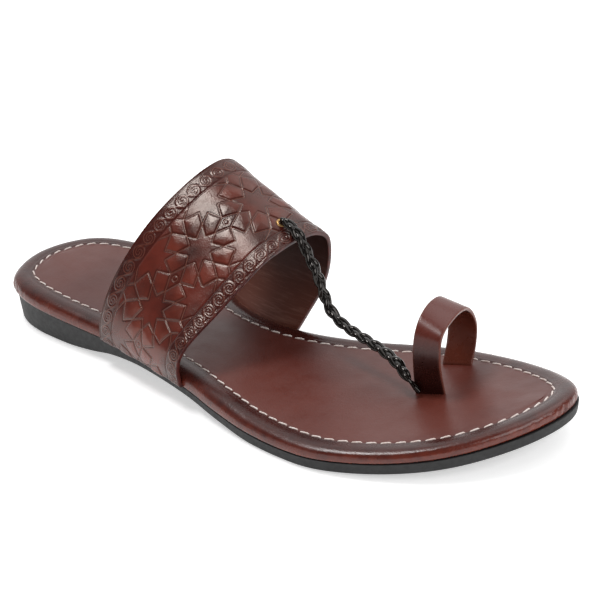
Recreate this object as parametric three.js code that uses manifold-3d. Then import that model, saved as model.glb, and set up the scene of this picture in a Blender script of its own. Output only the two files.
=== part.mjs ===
// Kolhapuri sandal for the right foot, in millimetres, +Z up, standing on its sole.
// While the pieces are built, x runs from the back of the heel to the tip of the toe,
// y runs to the inner side of the foot, and z is the height over the floor.
// The whole group is then moved so that its origin is under the middle of its box.
import * as THREE from 'three';
import Module from 'manifold-3d';

const wasm = await Module();
wasm.setup();

// Driving dimensions
const length = 280;
const ballWidth = 105.6;
const heelHeight = 14.3;
const toeSpring = 9.8;
const padThickness = 7;
const padCrown = 0.4;
const stitchInset = 9.6;
const grooveDepth = 0.5;
const fieldDrop = 0.3;
const heelTaper = 1.4;
const soleCorner = 1.1;
const clearance = 0.3;

const bandThickness = 1.9;
const bandLean = 0.2;
const instepFront = 47.8;
const instepBack = 65.4;
const tuckDepth = 8;
const tuckFold = 1.6;
const tuckCorner = 0.48;
const pocketSpare = 1.2;
const bandEndShare = 0.125;

const ringThickness = 1.7;
const ringWidth = 12.4;
const ringSpan = 28;
const ringHeight = 32.6;
const ringAngle = 24;
const ringLegsAngle = 102;
const ringFootAt = 0.792;
const ringFootInward = -0.5;

const eyeletHole = 1.1;
const eyeletBarrel = 1.7;
const eyeletFlange = 2.4;
const eyeletRim = 0.6;
const eyeletLowerFlange = 2.9;
const eyeletLowerRim = 0.4;
const eyeletFromFront = 10.8;
const eyeletAround = 0.576;

const strandRadius = 1.3;
const strandCore = 0.9;
const braidSwing = 1.4;
const braidDepth = 0.65;
const braidPitch = 21;

// How finely the curved pieces are divided
const outlineSteps = 2;
const bandRows = 34;
const bandColumns = 6;
const ringRows = 26;
const ringColumns = 2;
const braidRows = 62;
const braidSides = 14;
const eyeletSides = 20;
const faceSteps = 3;
const crownSteps = 4;

// Cuts run on past the surface by this many thicknesses of the piece
const cutReach = 3;

// Outline of the wrapped footbed seen from above. Each row is one station along the foot:
// at is a share of the length, inner and outer are shares of the ball width.
const outlineStations = [
  { at: 0.008, inner: 0.120, outer: -0.122 },
  { at: 0.030, inner: 0.230, outer: -0.234 },
  { at: 0.060, inner: 0.291, outer: -0.288 },
  { at: 0.100, inner: 0.328, outer: -0.323 },
  { at: 0.150, inner: 0.351, outer: -0.340 },
  { at: 0.210, inner: 0.357, outer: -0.347 },
  { at: 0.270, inner: 0.327, outer: -0.354 },
  { at: 0.330, inner: 0.250, outer: -0.374 },
  { at: 0.400, inner: 0.161, outer: -0.412 },
  { at: 0.470, inner: 0.127, outer: -0.457 },
  { at: 0.540, inner: 0.158, outer: -0.514 },
  { at: 0.610, inner: 0.245, outer: -0.560 },
  { at: 0.680, inner: 0.341, outer: -0.586 },
  { at: 0.740, inner: 0.400, outer: -0.586 },
  { at: 0.800, inner: 0.420, outer: -0.544 },
  { at: 0.860, inner: 0.408, outer: -0.472 },
  { at: 0.910, inner: 0.369, outer: -0.381 },
  { at: 0.950, inner: 0.315, outer: -0.266 },
  { at: 0.980, inner: 0.246, outer: -0.134 },
  { at: 0.995, inner: 0.172, outer: -0.020 },
];
const heelCentre = 0;
const toeCentre = 0.083;

// Side view of the sole. seat is the joint between outsole and footbed as a share of the
// heel height, lift is the clearance under the thin sole as a share of the toe spring,
// pad is a share of the pad thickness, and lip is how far the rubber stands inside the
// leather, in shares of the stitch inset.
const sideStations = [
  { at: 0.00, seat: 1.000, lift: 0.00, pad: 1.02, lip: 0.17 },
  { at: 0.10, seat: 0.925, lift: 0.00, pad: 0.99, lip: 0.15 },
  { at: 0.18, seat: 0.830, lift: 0.00, pad: 0.91, lip: 0.13 },
  { at: 0.23, seat: 0.770, lift: 0.12, pad: 0.87, lip: 0.11 },
  { at: 0.28, seat: 0.710, lift: 0.34, pad: 0.86, lip: 0.10 },
  { at: 0.35, seat: 0.620, lift: 0.45, pad: 0.94, lip: 0.09 },
  { at: 0.45, seat: 0.540, lift: 0.37, pad: 1.01, lip: 0.07 },
  { at: 0.55, seat: 0.410, lift: 0.16, pad: 0.98, lip: 0.06 },
  { at: 0.62, seat: 0.335, lift: 0.00, pad: 0.84, lip: 0.05 },
  { at: 0.71, seat: 0.333, lift: 0.00, pad: 0.74, lip: 0.05 },
  { at: 0.79, seat: 0.408, lift: 0.10, pad: 0.70, lip: 0.05 },
  { at: 0.86, seat: 0.530, lift: 0.28, pad: 0.72, lip: 0.03 },
  { at: 0.92, seat: 0.700, lift: 0.52, pad: 0.78, lip: 0.00 },
  { at: 0.97, seat: 0.895, lift: 0.81, pad: 0.83, lip: -0.04 },
  { at: 1.00, seat: 1.020, lift: 1.00, pad: 0.86, lip: -0.07 },
];

// The outsole's side from the floor up. taper is the share of the heel's taper that is left,
// corner and raise place the rounded lower edge in shares of its radius, and up is a share
// of the sole's depth.
const soleWall = [
  { taper: 1.0, corner: 1.0, raise: 0.00, up: 0.00 },
  { taper: 1.0, corner: 0.3, raise: 0.35, up: 0.00 },
  { taper: 1.0, corner: 0.0, raise: 1.00, up: 0.00 },
  { taper: 0.4, corner: 0.0, raise: 0.00, up: 0.55 },
  { taper: 0.0, corner: 0.0, raise: 0.00, up: 1.00 },
];

// Section through the puffed edge roll: inset in shares of the stitch inset from the
// outline inwards, rise in shares of the local pad thickness over the joint. The flat
// underside starts at the base inset, and the flat middle at the field inset.
const baseInset = 0.3;
const fieldInset = 1.22;
const rollSection = [
  { inset: 0.08, rise: 0.00 },
  { inset: 0.02, rise: 0.10 },
  { inset: 0.00, rise: 0.30 },
  { inset: 0.03, rise: 0.55 },
  { inset: 0.14, rise: 0.78 },
  { inset: 0.34, rise: 0.94 },
  { inset: 0.58, rise: 0.99 },
  { inset: 0.82, rise: 0.97 },
];

// The two arcs of the band, from its outer foot over the instep to its inner foot. across
// is a share of the distance between the feet, up is a share of that arc's instep height.
const bandArcs = [
  { backAcross: 0.000, backUp: 0.00, frontAcross: 0.000, frontUp: 0.00 },
  { backAcross: -0.008, backUp: 0.10, frontAcross: -0.024, frontUp: 0.13 },
  { backAcross: 0.005, backUp: 0.20, frontAcross: -0.018, frontUp: 0.25 },
  { backAcross: 0.040, backUp: 0.32, frontAcross: 0.031, frontUp: 0.35 },
  { backAcross: 0.112, backUp: 0.47, frontAcross: 0.120, frontUp: 0.44 },
  { backAcross: 0.235, backUp: 0.64, frontAcross: 0.260, frontUp: 0.56 },
  { backAcross: 0.391, backUp: 0.79, frontAcross: 0.430, frontUp: 0.72 },
  { backAcross: 0.590, backUp: 0.92, frontAcross: 0.620, frontUp: 0.89 },
  { backAcross: 0.760, backUp: 0.99, frontAcross: 0.800, frontUp: 0.97 },
  { backAcross: 0.890, backUp: 1.00, frontAcross: 0.950, frontUp: 1.00 },
  { backAcross: 1.000, backUp: 0.93, frontAcross: 1.090, frontUp: 0.98 },
  { backAcross: 1.070, backUp: 0.78, frontAcross: 1.190, frontUp: 0.87 },
  { backAcross: 1.100, backUp: 0.56, frontAcross: 1.225, frontUp: 0.61 },
  { backAcross: 1.085, backUp: 0.33, frontAcross: 1.190, frontUp: 0.37 },
  { backAcross: 1.035, backUp: 0.14, frontAcross: 1.085, frontUp: 0.16 },
  { backAcross: 1.000, backUp: 0.00, frontAcross: 1.000, frontUp: 0.00 },
];
const bandFeet = { outerBack: 0.270, outerFront: 0.462, innerBack: 0.307, innerFront: 0.500 };
const bandFootRise = 0.12;

// The toe ring's back and front edges, from the near leg over the toe to the far leg, in
// shares of the ring's span and height.
const ringArcs = [
  { backAcross: 0.00, backUp: 0.00, frontAcross: 0.00, frontUp: 0.00 },
  { backAcross: -0.04, backUp: 0.25, frontAcross: -0.09, frontUp: 0.22 },
  { backAcross: -0.05, backUp: 0.50, frontAcross: -0.16, frontUp: 0.44 },
  { backAcross: -0.02, backUp: 0.70, frontAcross: -0.16, frontUp: 0.64 },
  { backAcross: 0.06, backUp: 0.84, frontAcross: -0.10, frontUp: 0.79 },
  { backAcross: 0.21, backUp: 0.95, frontAcross: 0.06, frontUp: 0.87 },
  { backAcross: 0.43, backUp: 1.01, frontAcross: 0.30, frontUp: 0.90 },
  { backAcross: 0.68, backUp: 1.01, frontAcross: 0.58, frontUp: 0.90 },
  { backAcross: 0.93, backUp: 0.95, frontAcross: 0.86, frontUp: 0.84 },
  { backAcross: 1.15, backUp: 0.80, frontAcross: 1.08, frontUp: 0.68 },
  { backAcross: 1.25, backUp: 0.58, frontAcross: 1.21, frontUp: 0.46 },
  { backAcross: 1.18, backUp: 0.26, frontAcross: 1.16, frontUp: 0.22 },
  { backAcross: 1.00, backUp: 0.00, frontAcross: 1.00, frontUp: 0.00 },
];

// The braid between the eyelet and the foot of the ring. run is a share of the way between
// them, fall a share of the drop, aside a share of the way, to the inner side of the foot.
const braidRoute = [
  { run: 0.000, fall: 0.000, aside: 0.000 },
  { run: 0.050, fall: 0.025, aside: 0.000 },
  { run: 0.085, fall: 0.045, aside: 0.000 },
  { run: 0.110, fall: 0.068, aside: 0.000 },
  { run: 0.135, fall: 0.104, aside: 0.000 },
  { run: 0.165, fall: 0.165, aside: 0.000 },
  { run: 0.200, fall: 0.245, aside: 0.000 },
  { run: 0.240, fall: 0.320, aside: 0.000 },
  { run: 0.275, fall: 0.420, aside: 0.000 },
  { run: 0.310, fall: 0.540, aside: 0.000 },
  { run: 0.350, fall: 0.635, aside: 0.000 },
  { run: 0.420, fall: 0.700, aside: 0.000 },
  { run: 0.520, fall: 0.737, aside: 0.000 },
  { run: 0.640, fall: 0.760, aside: 0.000 },
  { run: 0.770, fall: 0.792, aside: -0.002 },
  { run: 0.880, fall: 0.828, aside: -0.019 },
  { run: 0.950, fall: 0.880, aside: -0.034 },
  { run: 1.000, fall: 1.000, aside: 0.000 },
];
const braidEndBack = 4;
const braidSunk = 0.2;
const braidPinched = { start: 0.3, startRun: 0.09, over: 0.75, end: 0.62, endRun: 0.16 };

const black = new THREE.MeshStandardMaterial({ color: 0x2b2b2c, roughness: 0.7, metalness: 0 });
const brown = new THREE.MeshStandardMaterial({ color: 0x6b3b33, roughness: 0.42, metalness: 0 });
const oxblood = new THREE.MeshStandardMaterial({ color: 0x4a1f1c, roughness: 0.38, metalness: 0 });
const ringBrown = new THREE.MeshStandardMaterial({ color: 0x45211d, roughness: 0.35, metalness: 0 });
const cordBlack = new THREE.MeshStandardMaterial({ color: 0x161413, roughness: 0.25, metalness: 0 });
const brass = new THREE.MeshStandardMaterial({ color: 0xb58a4a, roughness: 0.3, metalness: 1 });

// Smooth value of one column of a table at a place between its rows
function follow(rows, place, column, value) {
  let i = 0;
  while (i < rows.length - 2 && value > rows[i + 1][place]) i += 1;
  const slope = (k) => {
    const low = rows[Math.max(k - 1, 0)];
    const high = rows[Math.min(k + 1, rows.length - 1)];
    return (high[column] - low[column]) / (high[place] - low[place]);
  };
  const from = rows[i];
  const to = rows[i + 1];
  const span = to[place] - from[place];
  const t = THREE.MathUtils.clamp((value - from[place]) / span, 0, 1);
  const t2 = t * t;
  const t3 = t2 * t;
  return from[column] * (2 * t3 - 3 * t2 + 1) + slope(i) * span * (t3 - 2 * t2 + t)
    + to[column] * (3 * t2 - 2 * t3) + slope(i + 1) * span * (t3 - t2);
}

// Side view of the sole at x
const side = (x, column) => follow(sideStations, 'at', column, x / length);
const seatHeight = (x) => heelHeight * side(x, 'seat');
const padHeight = (x) => padThickness * side(x, 'pad');
const liftHeight = (x) => Math.max(toeSpring * side(x, 'lift'), 0);
const lipInset = (x) => stitchInset * side(x, 'lip');

// The outline as evenly paired samples: heel, inner side, toe, outer side
function outlineSamples() {
  const place = (at, share) => new THREE.Vector3(at * length, share * ballWidth, 0);
  const inner = outlineStations.map((row) => place(row.at, row.inner));
  const outer = outlineStations.map((row) => place(row.at, row.outer)).reverse();
  const loop = [place(0, heelCentre), ...inner, place(1, toeCentre), ...outer];
  const curve = new THREE.CatmullRomCurve3(loop, true, 'centripetal');
  const count = (2 * outlineStations.length + 2) * outlineSteps;
  const samples = [];
  for (let i = 0; i < count; i += 1) {
    const point = curve.getPoint(i / count);
    const tangent = curve.getTangent(i / count);
    samples.push({ point, outward: new THREE.Vector3(-tangent.y, tangent.x, 0).normalize() });
  }
  return samples;
}

const outline = outlineSamples();

// A loop of points drawn in from the outline, with its inset and its height as functions of x
function insetRing(inset, rise) {
  return outline.map(({ point, outward }) => {
    const place = point.clone().addScaledVector(outward, -inset(point.x));
    return place.setZ(rise(place.x));
  });
}

// Loops that close a face: from a loop towards the line through the middles of its pairs
function closingRings(ring, steps, rise) {
  const rings = [];
  for (let k = 1; k <= steps; k += 1) {
    const share = k / steps;
    rings.push(ring.map((point, i) => {
      const twin = ring[(ring.length - i) % ring.length];
      const middle = point.clone().add(twin).multiplyScalar(0.5);
      const place = point.clone().lerp(middle, share);
      place.z = rise(place.x, share);
      return place;
    }));
  }
  return rings;
}

// A closed solid from points and triangles, with shared points merged
function solidFrom(points, triangles) {
  const found = new Map();
  const kept = [];
  const index = points.map((point) => {
    const key = point.toArray().map((value) => Math.round(value * 1e4)).join();
    if (!found.has(key)) {
      found.set(key, kept.length / 3);
      kept.push(point.x, point.y, point.z);
    }
    return found.get(key);
  });
  const corners = triangles
    .map((triangle) => triangle.map((i) => index[i]))
    .filter(([a, b, c]) => a !== b && b !== c && c !== a);
  return new wasm.Manifold(new wasm.Mesh({
    numProp: 3,
    vertProperties: new Float32Array(kept),
    triVerts: new Uint32Array(corners.flat()),
  }));
}

// A solid skinned over loops that run anticlockwise seen from above, from its underside's
// middle out, up its side and in to its upper side's middle
function ringSolid(rings) {
  const count = rings[0].length;
  const triangles = [];
  for (let k = 0; k < rings.length - 1; k += 1) {
    for (let i = 0; i < count; i += 1) {
      const next = (i + 1) % count;
      const [a, b] = [k * count + i, k * count + next];
      const [c, d] = [(k + 1) * count + i, (k + 1) * count + next];
      triangles.push([a, c, b], [b, c, d]);
    }
  }
  return solidFrom(rings.flat(), triangles);
}

// A wall of even thickness on both sides of a grid of points
function wallSolid(grid, thickness) {
  const rows = grid.length;
  const columns = grid[0].length;
  const points = [];
  const normals = grid.map((line, i) => line.map((point, j) => {
    const along = grid[Math.min(i + 1, rows - 1)][j].clone().sub(grid[Math.max(i - 1, 0)][j]);
    const across = line[Math.min(j + 1, columns - 1)].clone().sub(line[Math.max(j - 1, 0)]);
    return along.cross(across).normalize();
  }));
  for (const face of [0.5, -0.5]) {
    grid.forEach((line, i) => line.forEach((point, j) => {
      points.push(point.clone().addScaledVector(normals[i][j], face * thickness));
    }));
  }
  const far = rows * columns;
  const triangles = [];
  const quad = (a, b, c, d) => triangles.push([a, b, c], [a, c, d]);
  for (let i = 0; i < rows - 1; i += 1) {
    for (let j = 0; j < columns - 1; j += 1) {
      const a = i * columns + j;
      quad(a, a + columns, a + columns + 1, a + 1);
      quad(far + a, far + a + 1, far + a + columns + 1, far + a + columns);
    }
    const first = i * columns;
    const last = first + columns - 1;
    quad(first, far + first, far + first + columns, first + columns);
    quad(last, last + columns, far + last + columns, far + last);
  }
  for (let j = 0; j < columns - 1; j += 1) {
    const end = (rows - 1) * columns + j;
    quad(j, j + 1, far + j + 1, far + j);
    quad(end, far + end, far + end + 1, end + 1);
  }
  return solidFrom(points, triangles);
}

// Rubber unit sole: thin under the forefoot, raised at the waist, deep and tapered at the heel
function outsoleSolid() {
  const depth = (x) => seatHeight(x) - liftHeight(x);
  const wall = soleWall.map(({ taper, corner, raise, up }) => insetRing(
    (x) => lipInset(x) + heelTaper * taper * depth(x) / heelHeight + soleCorner * corner,
    (x) => liftHeight(x) + soleCorner * raise + depth(x) * up,
  ));
  return ringSolid([
    ...closingRings(wall[0], faceSteps, liftHeight).reverse(),
    ...wall,
    ...closingRings(wall[wall.length - 1], faceSteps, seatHeight),
  ]);
}

// Heights of the footbed at x
const padBase = (x) => seatHeight(x) + clearance;
const padTop = (x) => padBase(x) + padHeight(x);
const fieldTop = (x) => padTop(x) - fieldDrop;

// Leather-wrapped footbed: puffed roll, stitch groove and a gently crowned middle
function footbedSolid() {
  const base = insetRing(() => stitchInset * baseInset, padBase);
  const roll = rollSection.map(({ inset, rise }) => (
    insetRing(() => stitchInset * inset, (x) => padBase(x) + padHeight(x) * rise)
  ));
  const groove = insetRing(() => stitchInset, (x) => padTop(x) - grooveDepth);
  const field = insetRing(() => stitchInset * fieldInset, fieldTop);
  const crown = (x, share) => fieldTop(x) + padCrown * Math.sin(share * Math.PI / 2);
  return ringSolid([
    ...closingRings(base, faceSteps, padBase).reverse(),
    base,
    ...roll,
    groove,
    field,
    ...closingRings(field, crownSteps, crown),
  ]);
}

// A place on the outline at a share of the length, on the inner or the outer side
function edgePlace(at, inner) {
  const half = outline.length / 2;
  const innerSide = outline.slice(0, half + 1);
  const outerSide = [...outline.slice(half), outline[0]].reverse();
  const stretch = inner ? innerSide : outerSide;
  const x = at * length;
  let i = 0;
  while (i < stretch.length - 2 && stretch[i + 1].point.x < x) i += 1;
  const [from, to] = [stretch[i], stretch[i + 1]];
  const t = (x - from.point.x) / (to.point.x - from.point.x);
  return {
    point: from.point.clone().lerp(to.point, t),
    outward: from.outward.clone().lerp(to.outward, t).normalize(),
  };
}

// Foot of the band at a share of its width from back to front, outside the footbed's roll
function bandFoot(share, inner) {
  const from = inner ? bandFeet.innerBack : bandFeet.outerBack;
  const to = inner ? bandFeet.innerFront : bandFeet.outerFront;
  const { point, outward } = edgePlace(THREE.MathUtils.lerp(from, to, share), inner);
  const foot = point.clone().addScaledVector(outward, clearance + bandThickness / 2);
  foot.z = padBase(point.x) + padHeight(point.x) * bandFootRise + bandThickness;
  return { foot, outward, base: padBase(point.x) };
}

// One of the two edges of an arch: straight shares across and up between two feet
function archPoint(rows, name, u, from, to, height, lean) {
  const place = u * (rows.length - 1);
  const numbered = rows.map((row, i) => ({ i, across: row[`${name}Across`], up: row[`${name}Up`] }));
  const across = follow(numbered, 'i', 'across', place);
  const up = follow(numbered, 'i', 'up', place) * height;
  const point = from.clone().lerp(to, across);
  return point.add(new THREE.Vector3(lean * up, 0, up));
}

// Middle surface of the band between its feet, u across the foot and v from back to front.
// Near a foot the surface is pulled from a straight line onto the curved edge of the footbed.
function bandPoint(u, v) {
  const backFeet = [bandFoot(0, false).foot, bandFoot(0, true).foot];
  const frontFeet = [bandFoot(1, false).foot, bandFoot(1, true).foot];
  const back = archPoint(bandArcs, 'back', u, ...backFeet, instepBack, bandLean);
  const front = archPoint(bandArcs, 'front', u, ...frontFeet, instepFront, bandLean);
  const point = back.lerp(front, v);
  const nearest = Number(u > 0.5);
  const own = bandFoot(v, nearest === 1).foot;
  const straight = backFeet[nearest].clone().lerp(frontFeet[nearest], v);
  const pull = Math.max(1 - Math.min(u, 1 - u) / bandEndShare, 0) ** 2;
  return point.addScaledVector(own.sub(straight), pull);
}

// The end of the band that turns in under the footbed, from its tip to its foot
function tuckPoints(v, inner) {
  const { foot, outward, base } = bandFoot(v, inner);
  const level = base + bandThickness / 2;
  const tip = foot.clone().addScaledVector(outward, -tuckDepth).setZ(level);
  const flat = foot.clone().addScaledVector(outward, -tuckFold).setZ(level);
  const fold = foot.clone().addScaledVector(outward, -tuckCorner).setZ(level + tuckCorner);
  return [tip, flat, fold];
}

// Shares from 0 to 1 in even steps
const shares = (steps) => Array.from({ length: steps + 1 }, (_, k) => k / steps);

// The whole band from the tip of one tucked end to the tip of the other
function bandGrid() {
  const widths = shares(bandColumns);
  const outer = widths.map((v) => tuckPoints(v, false));
  const inner = widths.map((v) => tuckPoints(v, true));
  return [
    ...outer[0].map((_, k) => outer.map((tuck) => tuck[k])),
    ...shares(bandRows).map((u) => widths.map((v) => bandPoint(u, v))),
    ...inner[0].map((_, k) => inner.map((tuck) => tuck[k])).reverse(),
  ];
}

// Pocket under the footbed for one tucked end of the band
function tuckPocket(inner) {
  const reaches = [-tuckDepth - 2 * clearance, cutReach * bandThickness];
  const grid = reaches.map((reach) => shares(bandColumns).map((share) => {
    const { foot, outward, base } = bandFoot(share, inner);
    const place = foot.clone().addScaledVector(outward, reach);
    place.x += pocketSpare * (Number(share === 1) - Number(share === 0));
    return place.setZ(base);
  }));
  return wallSolid(grid, 2 * (bandThickness + clearance));
}

// Level direction at an angle from the way to the toe
const turned = (degrees) => {
  const angle = THREE.MathUtils.degToRad(degrees);
  return new THREE.Vector3(Math.cos(angle), Math.sin(angle), 0);
};

// Middle of the near leg of the toe ring where it leaves the footbed
function ringFoot() {
  const x = ringFootAt * length;
  return new THREE.Vector3(x, ringFootInward, fieldTop(x));
}

// Middle surface of the toe ring, u from the near leg to the far leg, v from back to front
function ringPoint(u, v) {
  const near = ringFoot();
  const far = near.clone().addScaledVector(turned(ringLegsAngle), ringSpan);
  const edge = (name, offset) => {
    const feet = [near, far].map((foot) => foot.clone().addScaledVector(turned(ringAngle), offset));
    return archPoint(ringArcs, name, u, ...feet, ringHeight, 0);
  };
  return edge('back', -ringWidth / 2).lerp(edge('front', ringWidth / 2), v);
}

// A place on a leg of the toe ring at a height over the joint, with spare width for its slot
function ringLeg(u, v, height, spare) {
  const widened = 0.5 + (v - 0.5) * (1 + 2 * spare / ringWidth);
  const point = ringPoint(u, widened);
  return point.setZ(padBase(point.x) + height);
}

// The whole ring from the lower end of its near leg to the lower end of its far leg
function ringGrid() {
  const widths = shares(ringColumns);
  return [
    widths.map((v) => ringLeg(0, v, 0, 0)),
    ...shares(ringRows).map((u) => widths.map((v) => ringPoint(u, v))),
    widths.map((v) => ringLeg(1, v, 0, 0)),
  ];
}

// Slot through the footbed for one leg of the ring
function ringSlot(u) {
  const heights = [-padThickness, cutReach * padThickness];
  const grid = heights.map((height) => shares(1).map((v) => ringLeg(u, v, height, clearance)));
  return wallSolid(u === 0 ? grid : grid.reverse(), ringThickness + 2 * clearance);
}

// Middle of the eyelet on the band's middle surface, and the way out of that surface
function eyeletFrame() {
  const step = 0.01;
  const bandWidth = bandPoint(eyeletAround, 0).distanceTo(bandPoint(eyeletAround, 1));
  const v = 1 - eyeletFromFront / bandWidth;
  const middle = bandPoint(eyeletAround, v);
  const along = bandPoint(eyeletAround + step, v).sub(bandPoint(eyeletAround - step, v));
  const forward = bandPoint(eyeletAround, v + step).sub(bandPoint(eyeletAround, v - step));
  return { middle, normal: forward.cross(along).normalize() };
}

// A solid of revolution from rows of radius and height, moved to its place
function lathedSolid(profile, place) {
  const section = profile.map(([radius, height]) => new THREE.Vector2(radius, height));
  const geometry = new THREE.LatheGeometry(section, eyeletSides);
  geometry.applyMatrix4(place);
  const position = geometry.attributes.position;
  const points = [];
  for (let i = 0; i < position.count; i += 1) {
    points.push(new THREE.Vector3().fromBufferAttribute(position, i));
  }
  const triangles = [];
  for (let i = 0; i < geometry.index.count; i += 3) {
    triangles.push([0, 1, 2].map((k) => geometry.index.getX(i + k)));
  }
  return solidFrom(points, triangles);
}

// Turns a lathed form upright on the band and moves it to the eyelet
function eyeletPlace() {
  const { middle, normal } = eyeletFrame();
  const turn = new THREE.Quaternion().setFromUnitVectors(new THREE.Vector3(0, 1, 0), normal);
  return new THREE.Matrix4().compose(middle, turn, new THREE.Vector3(1, 1, 1));
}

// Hollow rivet: barrel through the band, a rolled flange on top and a flat one below
function eyeletSolid() {
  const top = bandThickness / 2 + clearance;
  const under = -top - eyeletLowerRim;
  const shoulder = top + eyeletRim / 2;
  return lathedSolid([
    [eyeletHole, under],
    [eyeletLowerFlange, under],
    [eyeletLowerFlange, -top],
    [eyeletBarrel, -top],
    [eyeletBarrel, top],
    [eyeletFlange, top],
    [eyeletFlange, shoulder],
    [(eyeletFlange + eyeletHole) / 2, top + eyeletRim],
    [eyeletHole, shoulder],
    [eyeletHole, under],
  ], eyeletPlace());
}

// Hole through the band for the eyelet's barrel
function eyeletCutter() {
  const reach = bandThickness * cutReach;
  const radius = eyeletBarrel + clearance;
  return lathedSolid([[0, -reach], [radius, -reach], [radius, reach], [0, reach]], eyeletPlace());
}

// Half of the braid's height
const braidHalf = braidDepth + strandRadius;

// Middle line of the braid: it rises out of the eyelet's hole, bends over the band's front
// edge and runs down to the foot of the ring
function braidCurve() {
  const { middle, normal } = eyeletFrame();
  const hidden = middle.clone().addScaledVector(normal, bandThickness / 2 - braidSunk);
  const over = bandThickness / 2 + eyeletRim + 2 * clearance + braidHalf * braidPinched.over;
  const start = middle.clone().addScaledVector(normal, over);
  const out = turned(ringAngle - 90);
  const beside = ringThickness / 2 + 2 * clearance + (braidSwing + strandRadius) * braidPinched.end;
  const end = ringFoot().addScaledVector(out, beside);
  end.addScaledVector(turned(ringAngle), -braidEndBack);
  end.z += padCrown + 2 * clearance + braidHalf * braidPinched.end;
  const inward = new THREE.Vector3(start.y - end.y, end.x - start.x, 0);
  const points = braidRoute.map(({ run, fall, aside }) => {
    const point = start.clone().lerp(end, run).addScaledVector(inward, aside);
    point.z = THREE.MathUtils.lerp(start.z, end.z, fall);
    return point;
  });
  return new THREE.CatmullRomCurve3([hidden, ...points], false, 'centripetal');
}

// The braid is drawn in at its two ends
function braidSize(share) {
  const { start, startRun, end, endRun } = braidPinched;
  const opening = THREE.MathUtils.lerp(start, 1, THREE.MathUtils.smoothstep(share, 0, startRun));
  const closing = THREE.MathUtils.lerp(end, 1, THREE.MathUtils.smoothstep(1 - share, 0, endRun));
  return opening * closing;
}

// Distance from the braid's middle to its surface in one direction of a section, where the
// strand's core keeps the section whole between the strands
function braidReach(angle, phase) {
  let reach = strandCore;
  for (let strand = 0; strand < 3; strand += 1) {
    const turn = phase + 2 * Math.PI * strand / 3;
    const x = braidSwing * Math.sin(turn);
    const y = braidDepth * Math.sin(2 * turn);
    const ahead = x * Math.cos(angle) + y * Math.sin(angle);
    const aside = x * Math.sin(angle) - y * Math.cos(angle);
    const half = strandRadius ** 2 - aside ** 2;
    if (half > 0) reach = Math.max(reach, ahead + Math.sqrt(half));
  }
  return reach;
}

// Three plaited strands as one solid: each section is the outline of the three strands,
// which swing from side to side a third of a turn apart
function braidSolid() {
  const curve = braidCurve();
  const total = curve.getLength();
  const points = [];
  for (let i = 0; i <= braidRows; i += 1) {
    const share = i / braidRows;
    const centre = curve.getPointAt(share);
    const ahead = curve.getTangentAt(share);
    const wide = ahead.clone().cross(new THREE.Vector3(0, 0, 1)).normalize();
    const deep = wide.clone().cross(ahead);
    const size = braidSize(share);
    for (let k = 0; k < braidSides; k += 1) {
      const angle = 2 * Math.PI * k / braidSides;
      const reach = size * braidReach(angle, 2 * Math.PI * share * total / braidPitch);
      const place = centre.clone().addScaledVector(wide, reach * Math.cos(angle));
      points.push(place.addScaledVector(deep, reach * Math.sin(angle)));
    }
  }
  const start = points.push(curve.getPointAt(0)) - 1;
  const end = points.push(curve.getPointAt(1)) - 1;
  const triangles = [];
  for (let k = 0; k < braidSides; k += 1) {
    const next = (k + 1) % braidSides;
    for (let i = 0; i < braidRows; i += 1) {
      const [a, b] = [i * braidSides + k, i * braidSides + next];
      triangles.push([a, a + braidSides, b], [b, a + braidSides, b + braidSides]);
    }
    const last = braidRows * braidSides;
    triangles.push([start, k, next], [end, last + next, last + k]);
  }
  return solidFrom(points, triangles);
}

// A named mesh of one solid
function meshOf(name, solid, material) {
  const made = solid.getMesh();
  const geometry = new THREE.BufferGeometry();
  geometry.setAttribute('position', new THREE.BufferAttribute(made.vertProperties.slice(), 3));
  geometry.setIndex(new THREE.BufferAttribute(made.triVerts.slice(), 1));
  geometry.computeVertexNormals();
  const mesh = new THREE.Mesh(geometry, material);
  mesh.name = name;
  return mesh;
}

const sandal = new THREE.Group();
const footbed = footbedSolid()
  .subtract(tuckPocket(false))
  .subtract(tuckPocket(true))
  .subtract(ringSlot(0))
  .subtract(ringSlot(1));
sandal.add(
  meshOf('outsole', outsoleSolid(), black),
  meshOf('footbed', footbed, brown),
  meshOf('vamp_band', wallSolid(bandGrid(), bandThickness).subtract(eyeletCutter()), oxblood),
  meshOf('toe_ring', wallSolid(ringGrid(), ringThickness), ringBrown),
  meshOf('braid_cord', braidSolid(), cordBlack),
  meshOf('brass_eyelet', eyeletSolid(), brass),
);

// Origin under the middle of the whole sandal
const bounds = new THREE.Box3().setFromObject(sandal);
const middle = bounds.getCenter(new THREE.Vector3());
sandal.position.set(-middle.x, -middle.y, -bounds.min.z);
sandal.updateMatrixWorld(true);

export default sandal;
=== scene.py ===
"""Looks of a kolhapuri sandal for the right foot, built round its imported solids.

Sizes are in millimetres, as in the part: x runs from the back of the heel to the tip of
the toe, y to the inner side of the foot, and z is the height over the floor. to_metres()
moves them into the frame, where every piece stays.
"""

import bmesh
import bpy
import numpy as np
from mathutils import Matrix, Vector


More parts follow.
